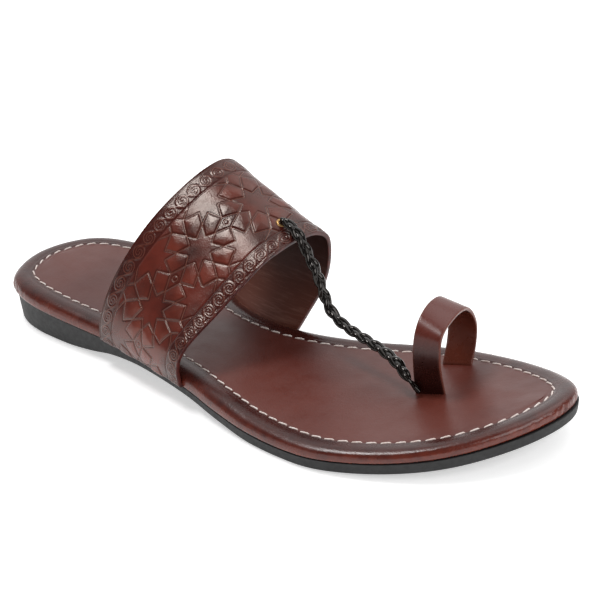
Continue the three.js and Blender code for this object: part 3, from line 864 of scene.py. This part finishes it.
def ring_surface():
    """Smooth dark red leather, paler at its cut edges and inside, with painted light that makes it
    paler towards its top.
    """
    base = (0.05, 0.01, 0.007)
    surface, tree, shader = make_surface("ring_leather", base, 0.3, Specular_IOR_Level=0.36)
    clouds = ramp(tree, noise(tree, 12, 4), 0.3, 0.7)
    color = mix(tree, clouds, (0.02, 0.0032, 0.0023), (0.03, 0.005, 0.0035))
    # Painted light: the ring pales towards its top, where light falls on it
    color = mix(tree, mark(tree, "high"), color, (0.11, 0.022, 0.015))
    color = mix(tree, mark(tree, "inside"), color, (0.1, 0.022, 0.012))
    color = mix(tree, mark(tree, "edge"), color, (0.16, 0.05, 0.035))
    gloss = ramp(tree, noise(tree, 4, 4), 0.35, 0.65, 0.24, 0.32)
    give(tree, shader, Base_Color=color, Roughness=gloss)
    bump(tree, shader, (cells(tree, 0.5), 0.05, 0.2), (noise(tree, 1.4, 4), 0.05, 0.2))
    return surface


def rubber_surface():
    surface, tree, shader = make_surface("sole_rubber", (0.03, 0.03, 0.031), 0.62)
    clouds = ramp(tree, noise(tree, 18, 4), 0.3, 0.7)
    color = mix(tree, clouds, (0.007, 0.007, 0.0073), (0.014, 0.014, 0.0144))
    dull = ramp(tree, noise(tree, 2, 5), 0.3, 0.7, 0.55, 0.72)
    give(tree, shader, Base_Color=color, Roughness=dull)
    bump(tree, shader, (noise(tree, 0.8, 4), 0.12, 0.35), (noise(tree, 6, 3), 0.25, 0.15))
    return surface


def cord_surface():
    gloss = {"Specular_IOR_Level": 0.42, "Specular_Tint": (1.0, 0.93, 0.88, 1)}
    surface, tree, shader = make_surface("braid_cord", (0.004, 0.003, 0.003), 0.16, **gloss)
    patches = ramp(tree, noise(tree, 2, 4), 0.45, 0.8)
    color = mix(tree, patches, (0.003, 0.0022, 0.002), (0.009, 0.006, 0.005))
    gloss = ramp(tree, noise(tree, 1.1, 4), 0.3, 0.7, 0.05, 0.11)
    give(tree, shader, Base_Color=color, Roughness=gloss)
    bump(tree, shader, (noise(tree, 0.9, 4), 0.06, 0.15))
    return surface


def thread_surface():
    surface, tree, shader = make_surface("stitches", (0.8, 0.7, 0.66), 0.55)
    soil = ramp(tree, noise(tree, 1.5, 4), 0.35, 0.7)
    give(tree, shader, Base_Color=mix(tree, soil, (0.72, 0.58, 0.53), (0.9, 0.83, 0.79)))
    bump(tree, shader, (noise(tree, 0.35, 3), 0.06, 0.4))
    return surface


def brass_surface():
    surface, tree, shader = make_surface("eyelet_brass", (0.6, 0.38, 0.16), 0.3, Metallic=1.0)
    patches = ramp(tree, noise(tree, 1.2, 5), 0.4, 0.75)
    give(tree, shader, Base_Color=mix(tree, patches, (0.5, 0.3, 0.12), (0.2, 0.1, 0.04)))
    bump(tree, shader, (noise(tree, 0.5, 4), 0.05, 0.3))
    return surface


def skin(loops):
    """Points and faces of a body over loops of the outline."""
    return np.vstack(loops), grid_faces(len(loops), len(OUTLINE_LINE), closed=True)


def loop_at(inset, height):
    """The outline drawn in by an inset, at the height that a function of x gives."""
    drawn_in = inset(OUTLINE_LINE[:, 0]) if callable(inset) else inset
    drawn_in = np.broadcast_to(np.asarray(drawn_in), len(OUTLINE_LINE))
    place = OUTLINE_LINE - OUTLINE_OUT * drawn_in[:, None]
    return np.column_stack([place, height(place[:, 0])])


def closing_loops(loop, steps, height):
    """Loops from a loop to the line through the middles of its pairs, which close a face."""
    twin = loop[-np.arange(len(loop))]
    middle = (loop + twin) / 2
    loops = []
    for share in np.arange(1, steps + 1) / steps:
        place = loop + (middle - loop) * share
        place[:, 2] = height(place[:, 0], share)
        loops.append(place)
    return loops


def seam_wrinkles():
    """Narrow radial wrinkles, deeper round the heel and the toe, for each outline point."""
    rng = np.random.default_rng(WRINKLE_SEED)
    samples = np.arange(len(OUTLINE_LINE)) / len(OUTLINE_LINE)
    total = np.zeros(len(samples))
    for place in rng.uniform(0, 1, WRINKLES):
        width = rng.uniform(*WRINKLE_WIDTHS)
        away = np.abs((samples - place + 0.5) % 1 - 0.5)
        total += rng.uniform(*WRINKLE_STRENGTHS) * bell(away, width)
    x = OUTLINE_LINE[:, 0] / LENGTH
    heel = np.clip(1 - x / WRINKLE_ENDS, 0, 1)
    toe = np.clip((x - WRINKLE_TOE) / WRINKLE_ENDS, 0, 1)
    return WRINKLE_DEPTH * total * (WRINKLE_SIDES + (1 - WRINKLE_SIDES) * (heel + toe))


def footbed_loops():
    """Loops from the pad's base round its roll to the middle of its field, with two marks.

    The marks say how much of the roll's colour a loop shows and how far it faces out; the second
    sets the roll's painted light on its outer face and painted shade on its top.
    """
    base = loop_at(STITCH_INSET * PAD_BASE_INSET, pad_base)
    loops = closing_loops(base, PAD_BASE_LOOPS, lambda x, share: pad_base(x))[::-1] + [base]
    roll = [1.0] * len(loops)
    outer = [1.0] * len(loops)
    last = len(ROLL["inset"]) - 1
    wrinkle = seam_wrinkles()
    for place in np.linspace(0, last, ROLL_LOOPS):
        inset = STITCH_INSET * float(along_rows(ROLL, "inset", place))
        rise = float(along_rows(ROLL, "rise", place))
        fold = wrinkle * np.sin(np.pi * min(place / WRINKLE_RUN, 1)) ** WRINKLE_FADE
        loops.append(loop_at(inset + fold, lambda x: pad_base(x) + pad_height(x) * rise))
        roll.append(1.0)
        # Painted light: the roll's outer face is lit, and it turns to painted shade where the roll
        # turns up
        outer.append(1 - float(smoothstep(place / last, *ROLL_LIT_TO_SHADED)))
    for inset, drop, shown in zip(*GROOVE.values()):
        loops.append(loop_at(STITCH_INSET * inset, lambda x: pad_top(x) - drop))
        roll.append(shown)
        outer.append(0.0)

    def crowned(x, share):
        return field_top(x) + PAD_CROWN * np.sin(share * np.pi / 2)

    inside = closing_loops(loops[-1], FIELD_LOOPS, crowned)
    plain = [0.0] * len(inside)
    return loops + inside, roll + plain, outer + plain


def make_footbed():
    loops, roll, outer = footbed_loops()
    count = len(OUTLINE_LINE)
    # The outer mark sets the roll's painted light and painted shade
    marks = {"roll": np.repeat(roll, count), "outer": np.repeat(outer, count)}
    name, surface = "footbed_leather", footbed_surface()
    pad = make_piece(name, *skin(loops), surface, name, ["footbed"], marks, merge=True)


def sole_depth(x):
    return seat_height(x) - lift_height(x)


def sole_inset(x, up):
    """How far in the sole's side is at a share of its depth, with the heel's taper."""
    return lip_inset(x) + HEEL_TAPER * sole_depth(x) / HEEL_HEIGHT * (1 - up)


def sole_wall(up, more=0.0):
    """Loop of the sole's side at a share of its depth, drawn in a little more."""
    return loop_at(
        lambda x: sole_inset(x, up) + more, lambda x: lift_height(x) + sole_depth(x) * up
    )


def sole_corner(share):
    """Loop of the sole's rounded lower edge, from its underside to its side."""
    angle = share * np.pi / 2
    return loop_at(
        lambda x: sole_inset(x, 0) + SOLE_CORNER * (1 - np.sin(angle)),
        lambda x: lift_height(x) + SOLE_CORNER * (1 - np.cos(angle)),
    )


def make_outsole():
    low = sole_corner(0.0)
    top = sole_wall(1.0, SOLE_RIM)
    loops = (
        closing_loops(low, SOLE_UNDER_LOOPS, lambda x, share: lift_height(x))[::-1]
        + [sole_corner(share) for share in np.linspace(0, 1, SOLE_CORNER_LOOPS)]
        + [sole_wall(up) for up in SOLE_WALL_LOOPS]
        + [top]
        + closing_loops(top, SOLE_TOP_LOOPS, lambda x, share: seat_height(x))
    )
    surface = rubber_surface()
    make_piece("outsole_rubber", *skin(loops), surface, "sole_rubber", ["outsole"], merge=True)


def seam_places():
    """Middle of each stitch round the footbed, with its ways ahead, aside and up."""
    seam = loop_at(STITCH_INSET, lambda x: pad_top(x) - GROOVE_DEPTH)
    ring = np.vstack([seam, seam[:1]])
    run = run_along(ring)
    count = int(round(run[-1] / STITCH_PITCH))
    slant = np.radians(STITCH_SLANT)
    for k in range(count):
        along = (k + 0.5) / count * run[-1]
        ends = (along, (along + 1) % run[-1])
        middle, near = (np.array([np.interp(end, run, axis) for axis in ring.T]) for end in ends)
        ahead = unit(near - middle)
        aside = np.cross([0, 0, 1], ahead)
        ahead = ahead * np.cos(slant) + aside * np.sin(slant)
        aside = np.cross([0, 0, 1], ahead)
        yield middle, ahead, aside, np.cross(ahead, aside)


def make_stitches():
    """Short twisted threads whose thin ends dive into the leather."""
    along = np.linspace(-0.5, 0.5, STITCH_ROWS)
    turn = np.linspace(0, 2 * np.pi, STITCH_SIDES, endpoint=False)
    towards_end = 2 * np.abs(along)
    lift = STITCH_RADIUS - STITCH_SUNK - STITCH_DIVE * towards_end**6
    thin = 1 - STITCH_THINNING * towards_end**5
    wind = THREAD_PLIES * turn - 2 * np.pi * along[:, None] * STITCH_LENGTH / THREAD_PLY_PITCH
    reach = STITCH_RADIUS * thin[:, None] * (1 + THREAD_PLY_DEPTH * np.cos(wind))
    points = []
    for middle, ahead, aside, up in seam_places():
        line = middle + ahead * (along * STITCH_LENGTH)[:, None] + up * lift[:, None]
        points.append(tube_points(line, reach, turn, aside, up))
    faces = tube_faces(STITCH_ROWS, STITCH_SIDES, len(points))
    make_piece("stitches", np.vstack(points), faces, thread_surface(), "footbed_leather")


def band_middle(rows, columns):
    """Middle surface of the band with both ends tucked in under the footbed."""
    v = np.linspace(0, 1, columns)
    u = np.linspace(0, 1, rows)
    arch = band_point(np.repeat(u[:, None], columns, 1), np.repeat(v[None, :], rows, 0))
    ends = {}
    for which in ("outer", "inner"):
        foot, outward, base = band_foot(v, which)
        out = np.column_stack([outward, np.zeros(columns)])
        drop = foot[:, 2] - base - BAND_THICKNESS / 2
        lines = []
        for angle in np.linspace(0, np.pi / 2, TUCK_ROWS)[1:]:
            line = foot - out * TUCK_FOLD * (1 - np.cos(angle))
            line[:, 2] -= drop * np.sin(angle)
            lines.append(line)
        lines.append(lines[-1] - out * (TUCK_DEPTH - TUCK_FOLD))
        ends[which] = np.array(lines)
    return np.concatenate([ends["outer"][::-1], arch, ends["inner"]])


def distance_to(point_x, point_y, start, end):
    """Distance from points to a straight line between two places."""
    ax, ay = start
    dx, dy = end[0] - ax, end[1] - ay
    t = np.clip(((point_x - ax) * dx + (point_y - ay) * dy) / (dx * dx + dy * dy), 0, 1)
    return np.hypot(point_x - ax - t * dx, point_y - ay - t * dy)


def sides_of(corners):
    return zip(corners, corners[1:] + corners[:1])


def depth_inside(point_x, point_y, corners):
    """Depth of points inside a convex form, and less than nothing outside it."""
    depth = np.full(point_x.shape, np.inf)
    for (ax, ay), (bx, by) in sides_of(corners):
        turn = (bx - ax) * (point_y - ay) - (by - ay) * (point_x - ax)
        depth = np.minimum(depth, turn / np.hypot(bx - ax, by - ay))
    return depth


def pillow(depth):
    """Height of a petal that steps up at its rim and swells to its middle."""
    swell = np.sin(np.clip(depth / PETAL_ROUND, 0, 1) * np.pi / 2)
    return STEP_RISE * smoothstep(depth, 0, STEP_RUN) + PETAL_RISE * swell


def mirrored(place):
    return (-place[0], place[1])


def star_relief(s, t):
    """Height of the star pattern, and its marks for raised places, lines, which carry a painted
    highlight, and the painted shade beside them.
    """
    x = np.abs((s - STAR_FIRST + STAR_SPACING / 2) % STAR_SPACING - STAR_SPACING / 2)
    y = np.abs(t - STAR_ACROSS)
    low_petal = [STAR_NOTCH_LOW, STAR_POINT, PETAL_MEETING, PETAL_CORNER_LOW, STAR_DIAGONAL]
    high_petal = [STAR_NOTCH_HIGH, STAR_DIAGONAL, PETAL_CORNER_HIGH, PETAL_TOP, STAR_TOP]
    kite = [STAR_TOP, PETAL_TOP, KITE_END, mirrored(KITE_END), mirrored(PETAL_TOP)]
    far_point = (2 * PETAL_MEETING[0] - STAR_POINT[0], 0.0)
    diamond = [STAR_POINT, (PETAL_MEETING[0], -PETAL_MEETING[1]), far_point, PETAL_MEETING]
    forms = ((low_petal, 1.0), (high_petal, 1.0), (kite, KITE_SHARE), (diamond, DIAMOND_SHARE))
    height = np.zeros(s.shape)
    raised = np.zeros(s.shape)
    for corners, share in forms:
        depth = depth_inside(x, y, corners)
        height = np.maximum(height, share * pillow(depth))
        raised = np.maximum(raised, share * smoothstep(depth, 0, STEP_RUN))
    lines = [
        *sides_of(low_petal),
        *sides_of(high_petal),
        (STAR_TOP, PETAL_TOP),
        (PETAL_TOP, KITE_END),
        (PETAL_TOP, FIELD_TIP),
    ]
    nearest = np.min([distance_to(x, y, start, end) for start, end in lines], axis=0)
    nearest = np.minimum(nearest, np.abs(np.hypot(x - PETAL_MEETING[0], y) - DOT_RADIUS))
    line = bell(nearest, LINE_HALF)
    return height - LINE_DEPTH * line, raised, line, bell(nearest, LINE_SHADE)


def scroll_relief(s, across, start):
    """Running scrolls: each has two arms, and an arm runs over into the next scroll."""
    x = (s - start + SCROLL_PITCH / 2) % SCROLL_PITCH - SCROLL_PITCH / 2
    reach = np.hypot(x, across)
    nearest = np.full(s.shape, np.inf)
    for first in (-np.pi / 2, np.pi / 2):
        turn = (np.arctan2(across, x) - first) % (2 * np.pi)
        for lap in (0, 1):
            arm = SCROLL_RADIUS - SCROLL_TURN * (turn + 2 * np.pi * lap)
            away = np.where(arm > SCROLL_EYE, np.abs(reach - arm), np.inf)
            nearest = np.minimum(nearest, away)
    share = np.linspace(0, 1, SCROLL_LINK_POINTS)
    link = np.column_stack([SCROLL_PITCH * share, SCROLL_RADIUS * np.cos(np.pi * share)])
    for shift in (0, -SCROLL_PITCH):
        for from_point, to_point in zip(link + (shift, 0), link[1:] + (shift, 0)):
            nearest = np.minimum(nearest, distance_to(x, across, from_point, to_point))
    return bell(nearest, SCROLL_HALF)


def band_relief(s, t, width):
    """Height of the embossing along and across the band, and the marks for its colours."""
    away = np.abs(t - STAR_ACROSS)
    inside = np.clip((FIELD_HALF - away) / BORDER_SOFT, 0, 1)
    height, raised, line, shade = (part * inside for part in star_relief(s, t))
    front = scroll_relief(s, t - SCROLL_FRONT[1], SCROLL_FRONT[0])
    back = scroll_relief(s, SCROLL_BACK[1] - t, SCROLL_BACK[0])
    scroll = np.where(t > STAR_ACROSS, front, back) * (away > FIELD_HALF + BORDER_HALF)
    border = bell(away - FIELD_HALF, BORDER_HALF)
    rim = width / 2 - np.abs(t)
    crease = bell(rim - CREASE_INSET, CREASE_HALF)
    height = height + SCROLL_HEIGHT * scroll - BORDER_DEPTH * border - CREASE_DEPTH * crease
    # The line mark carries the painted highlight of lines and scrolls, and the shade mark the
    # painted shade beside the lines
    marks = {
        "raised": raised,
        "line": np.maximum(line, SCROLL_HIGHLIGHT * scroll),
        "shade": shade,
        "border": smoothstep(away, FIELD_HALF - BORDER_SOFT, FIELD_HALF + BORDER_SOFT),
    }
    return height * np.clip(rim / RIM_RUN, 0, 1), marks


def make_band():
    """The embossed outer side of the band, its lining and its edges."""
    middle = band_middle(BAND_ROWS, BAND_COLUMNS)
    normal = -surface_normals(middle)
    rows, columns = middle.shape[:2]
    run = run_along(middle[:, columns // 2])
    run -= run[TUCK_ROWS]
    width = np.linalg.norm(middle[:, -1] - middle[:, 0], axis=1)
    s = np.repeat(run[:, None], columns, 1)
    t = (np.linspace(0, 1, columns)[None, :] - 0.5) * width[:, None]
    relief, marks = band_relief(s, t, width[:, None])
    outer = middle + normal * (BAND_THICKNESS / 2 + relief)[..., None]
    name, points, faces = "band_leather", outer.reshape(-1, 3), grid_faces(rows, columns)[:, ::-1]
    make_piece(name, points, faces, band_surface(), name, ["vamp_band"], marks)
    make_band_lining(middle - normal * BAND_THICKNESS / 2)
    make_band_edges(middle, normal)


def make_band_lining(inner):
    """The band's inner side, which is smooth, so fewer of its points are enough."""
    inner = np.concatenate([inner[::LINING_STEP], inner[-1:]])
    inner = np.concatenate([inner[:, ::LINING_STEP], inner[:, -1:]], axis=1)
    # Painted shade on the lining, which darkens above the unshaded height
    over = np.clip(inner[..., 2] - LINING_UNSHADED_TO, 0, None)
    marks = {"low": bell(over, LINING_SHADE_FADE)}
    points, faces = inner.reshape(-1, 3), grid_faces(*inner.shape[:2])
    make_piece("band_lining", points, faces, lining_surface(), "band_leather", marks=marks)


def make_band_edges(middle, normal):
    """Rounded strips over the back and front edges of the band."""
    turns = np.linspace(np.pi / 2, -np.pi / 2, EDGE_POINTS)
    points, faces = [], []
    for edge, inner in ((0, 1), (-1, -2)):
        outward = unit(middle[:, edge] - middle[:, inner])
        strip = (
            middle[:, edge, None]
            + outward[:, None] * (EDGE_BULGE * np.cos(turns))[:, None]
            + normal[:, edge, None] * (BAND_THICKNESS / 2 * np.sin(turns))[:, None]
        )
        quads = grid_faces(len(middle), len(turns)) + len(points) * len(middle) * len(turns)
        faces.append(quads if edge == 0 else quads[:, ::-1])
        points.append(strip.reshape(-1, 3))
    make_piece("band_edges", np.vstack(points), np.vstack(faces), edge_surface(), "band_leather")


def ring_section():
    """Closed section of the ring: shares of its width, and heights over its middle."""
    half = RING_THICKNESS / 2
    turns = np.linspace(0, np.pi / 2, RING_CORNER_POINTS)
    inset = RING_CORNER / RING_WIDTH
    right = [(1 - inset * (1 - np.cos(a)), half - RING_CORNER * (1 - np.sin(a))) for a in turns]
    flat = np.linspace(1, 0, RING_ACROSS_POINTS)[1:-1] * (1 - 2 * inset) + inset
    left = [(1 - v, n) for v, n in right[::-1]]
    upper = right + [(v, half) for v in flat] + left
    lower = [(v, -n) for v, n in upper[::-1]]
    return np.array(upper + lower)


def make_ring():
    loop = ring_section()
    u = np.linspace(0, 1, RING_ROWS)[:, None]
    v = np.linspace(0, 1, RING_COLUMNS)[None]
    flat = ring_point(np.repeat(u, RING_COLUMNS, 1), np.repeat(v, RING_ROWS, 0))
    normal = surface_normals(flat)[:, RING_COLUMNS // 2]
    surface = ring_point(np.repeat(u, len(loop), 1), np.repeat(loop[None, :, 0], RING_ROWS, 0))
    points = surface + loop[None, :, 1, None] * normal[:, None]
    sunk = np.array([0, 0, RING_LEGS_SUNK])
    points = np.concatenate([points[:1] - sunk, points, points[-1:] - sunk])
    from_edge = np.minimum(loop[:, 0], 1 - loop[:, 0]) * RING_WIDTH
    marks = {
        "edge": np.tile(bell(from_edge, RING_EDGE_SOFT), len(points)),
        "inside": np.tile((loop[:, 1] > 0).astype(float), len(points)),
        # Painted light that pales the ring towards its top
        "high": smoothstep(points[..., 2].ravel(), *RING_PAINTED_LIGHT),
    }
    name, faces = "ring_leather", tube_faces(len(points), len(loop))
    make_piece(name, points.reshape(-1, 3), faces, ring_surface(), name, ["toe_ring"], marks)


def eyelet_frame():
    """Middle of the eyelet, with its ways to the band's front and out."""
    step = 0.01
    width = np.linalg.norm(at_band(EYELET_AROUND, 0) - at_band(EYELET_AROUND, 1))
    v = 1 - EYELET_FROM_FRONT / width
    along = at_band(EYELET_AROUND + step, v) - at_band(EYELET_AROUND - step, v)
    forward = unit(at_band(EYELET_AROUND, v + step) - at_band(EYELET_AROUND, v - step))
    return at_band(EYELET_AROUND, v), forward, unit(np.cross(forward, along))


def eyelet_profile():
    """The eyelet's section: distances from its axis, and heights over the band's middle."""
    top = BAND_THICKNESS / 2 + EYELET_SEAT
    low = -top - EYELET_TAIL
    rim_foot = top + EYELET_SEAT
    under = top - EYELET_UNDER
    roll = (EYELET_FLANGE - EYELET_HOLE) / 2
    turns = np.linspace(0, np.pi, EYELET_RIM_POINTS)
    rim = [
        (EYELET_HOLE + roll - roll * np.cos(a), rim_foot + EYELET_RIM * np.sin(a)) for a in turns
    ]
    inner = [(EYELET_HOLE, low), (EYELET_HOLE, rim_foot)]
    outer = [(EYELET_FLANGE - EYELET_SEAT, under), (EYELET_BARREL, under), (EYELET_BARREL, low)]
    return inner + rim + outer


def make_eyelet():
    middle, forward, normal = eyelet_frame()
    aside = np.cross(normal, forward)
    profile = eyelet_profile()
    around = np.linspace(0, 2 * np.pi, EYELET_SIDES, endpoint=False)
    points = [
        middle + normal * z + r * (forward * np.cos(a) + aside * np.sin(a))
        for r, z in profile
        for a in around
    ]
    name, faces = "eyelet_brass", grid_faces(len(profile), len(around), closed=True)
    make_piece(name, np.array(points), faces, brass_surface(), name, ["brass_eyelet"], merge=True)


def braid_line():
    """Middle line of the braid from the eyelet's hole to the ring, and its run."""
    middle, _, normal = eyelet_frame()
    half = BRAID_DEPTH + STRAND_RADIUS
    narrow_end = BRAID_PINCHED_END[0]
    over = BAND_THICKNESS / 2 + EYELET_RIM + 2 * CLEARANCE + half * BRAID_OVER
    start = middle + normal * over
    hidden = middle + normal * (BAND_THICKNESS / 2 - BRAID_SUNK)
    beside = RING_THICKNESS / 2 + 2 * CLEARANCE + (BRAID_SWING + STRAND_RADIUS) * narrow_end
    end = ring_foot() + turned(RING_ANGLE - 90) * beside - turned(RING_ANGLE) * BRAID_END_BACK
    end[2] += PAD_CROWN + 2 * CLEARANCE + half * narrow_end
    inward = np.array([start[1] - end[1], end[0] - start[0], 0])
    run, fall, aside = (BRAID_ROUTE[name][:, None] for name in ("run", "fall", "aside"))
    points = start + (end - start) * run + inward * aside
    points[:, 2:] = start[2] + (end[2] - start[2]) * fall
    fine = smooth_line(np.vstack([hidden, points]), BRAID_STEPS, closed=False)
    run = run_along(fine)
    even = np.linspace(0, run[-1], BRAID_ROWS)
    return np.column_stack([np.interp(even, run, axis) for axis in fine.T]), even


def pinch(share, narrowest, run):
    """How wide the braid still is near one of its ends."""
    return narrowest + (1 - narrowest) * smoothstep(share, 0, run)


def make_braid():
    """Three strands that swing from side to side, over and under each other."""
    line, run = braid_line()
    ahead = unit(np.gradient(line, axis=0))
    wide = unit(np.cross(ahead, [0, 0, 1]))
    deep = np.cross(wide, ahead)
    share = run / run[-1]
    size = pinch(share, *BRAID_PINCHED_START) * pinch(1 - share, *BRAID_PINCHED_END)
    reach = STRAND_RADIUS * np.maximum(size, STRAND_THINNEST)[:, None]
    turn = np.linspace(0, 2 * np.pi, STRAND_SIDES, endpoint=False)
    points = []
    for strand in range(STRANDS):
        swing = 2 * np.pi * (run / BRAID_PITCH + strand / STRANDS)
        x = size * BRAID_SWING * np.sin(swing)
        y = size * BRAID_DEPTH * np.sin(2 * swing)
        centre = line + wide * x[:, None] + deep * y[:, None]
        way = unit(np.gradient(centre, axis=0))
        aside = unit(np.cross(way, deep))
        up = STRAND_FLATNESS * np.cross(aside, way)
        points.append(tube_points(centre, reach, turn, aside[:, None], up[:, None]))
    points, faces = np.vstack(points), tube_faces(BRAID_ROWS, STRAND_SIDES, STRANDS)
    make_piece("braid_strands", points, faces, cord_surface(), "cord_leather", ["braid_cord"])


def make_camera():
    """A camera at the photograph's place, worked out from the sandal's own proportions."""
    azimuth, elevation, roll = np.radians([CAMERA_AZIMUTH, CAMERA_ELEVATION, CAMERA_ROLL])
    level = np.array([np.cos(azimuth), np.sin(azimuth), 0.0])
    away = np.array([np.sin(azimuth), -np.cos(azimuth), 0.0])
    back = away * np.cos(elevation) + np.array([0, 0, np.sin(elevation)])
    right = level * np.cos(roll) + np.cross(back, level) * np.sin(roll)
    up = np.cross(back, right)
    place = to_metres(CAMERA_PLACE)
    data = bpy.data.cameras.new("camera")
    data.sensor_width = SENSOR
    data.lens = CAMERA_FOCAL / PHOTO_SIZE * SENSOR
    data.clip_end = CAMERA_REACH
    camera = make_object("camera", data)
    rows = [[right[k], up[k], back[k], place[k]] for k in range(3)]
    camera.matrix_world = Matrix(rows + [[0, 0, 0, 1]])
    bpy.context.scene.camera = camera


def make_floor():
    """A white floor that glows a little, as in a bright studio picture."""
    mesh = bpy.data.meshes.new("floor")
    corners = [(x * FLOOR_HALF, y * FLOOR_HALF, 0) for x, y in ((-1, -1), (1, -1), (1, 1), (-1, 1))]
    mesh.from_pydata(corners, [], [(0, 1, 2, 3)])
    glow = {"Emission_Color": (1, 1, 1, 1), "Emission_Strength": FLOOR_GLOW}
    surface, _, _ = make_surface("floor", (0.9, 0.9, 0.9), 0.8, **glow)
    mesh.materials.append(surface)
    make_object("floor", mesh)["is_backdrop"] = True


def make_light(name, place, size, power):
    """A soft light that faces the sandal."""
    data = bpy.data.lights.new(name, "AREA")
    data.shape = "RECTANGLE"
    data.size, data.size_y = size
    data.energy = power
    light = make_object(name, data)
    light.location = place
    light.rotation_euler = (-Vector(place)).to_track_quat("-Z", "Y").to_euler()


def make_studio():
    """A dim studio with a pale wall far behind the sandal and soft lights."""
    world = bpy.data.worlds.new("studio")
    bpy.context.scene.world = world
    world.use_nodes = True
    tree = world.node_tree
    wall = tree.nodes["Background"]
    wall.inputs["Color"].default_value = (1, 1, 1, 1)
    facing = add(tree, "ShaderNodeVectorMath", operation="DOT_PRODUCT")
    facing.inputs[1].default_value = WALL_WAY
    tree.links.new(add(tree, "ShaderNodeTexCoord").outputs["Generated"], facing.inputs[0])
    strength = ramp(tree, facing.outputs["Value"], *WALL_EDGE, *WALL_STRENGTH)
    tree.links.new(strength, wall.inputs["Strength"])
    for light in LIGHTS:
        make_light(*light)
    bpy.context.scene.view_settings.view_transform = "Standard"


def write_size():
    boxes = {"cad": CAD_BOX, "visual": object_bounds()}
    {name: [list(corner) for corner in box] for name, box in boxes.items()}


make_camera()
make_floor()
make_studio()
make_outsole()
make_footbed()
make_stitches()
make_band()
make_ring()
make_eyelet()
make_braid()
write_size()
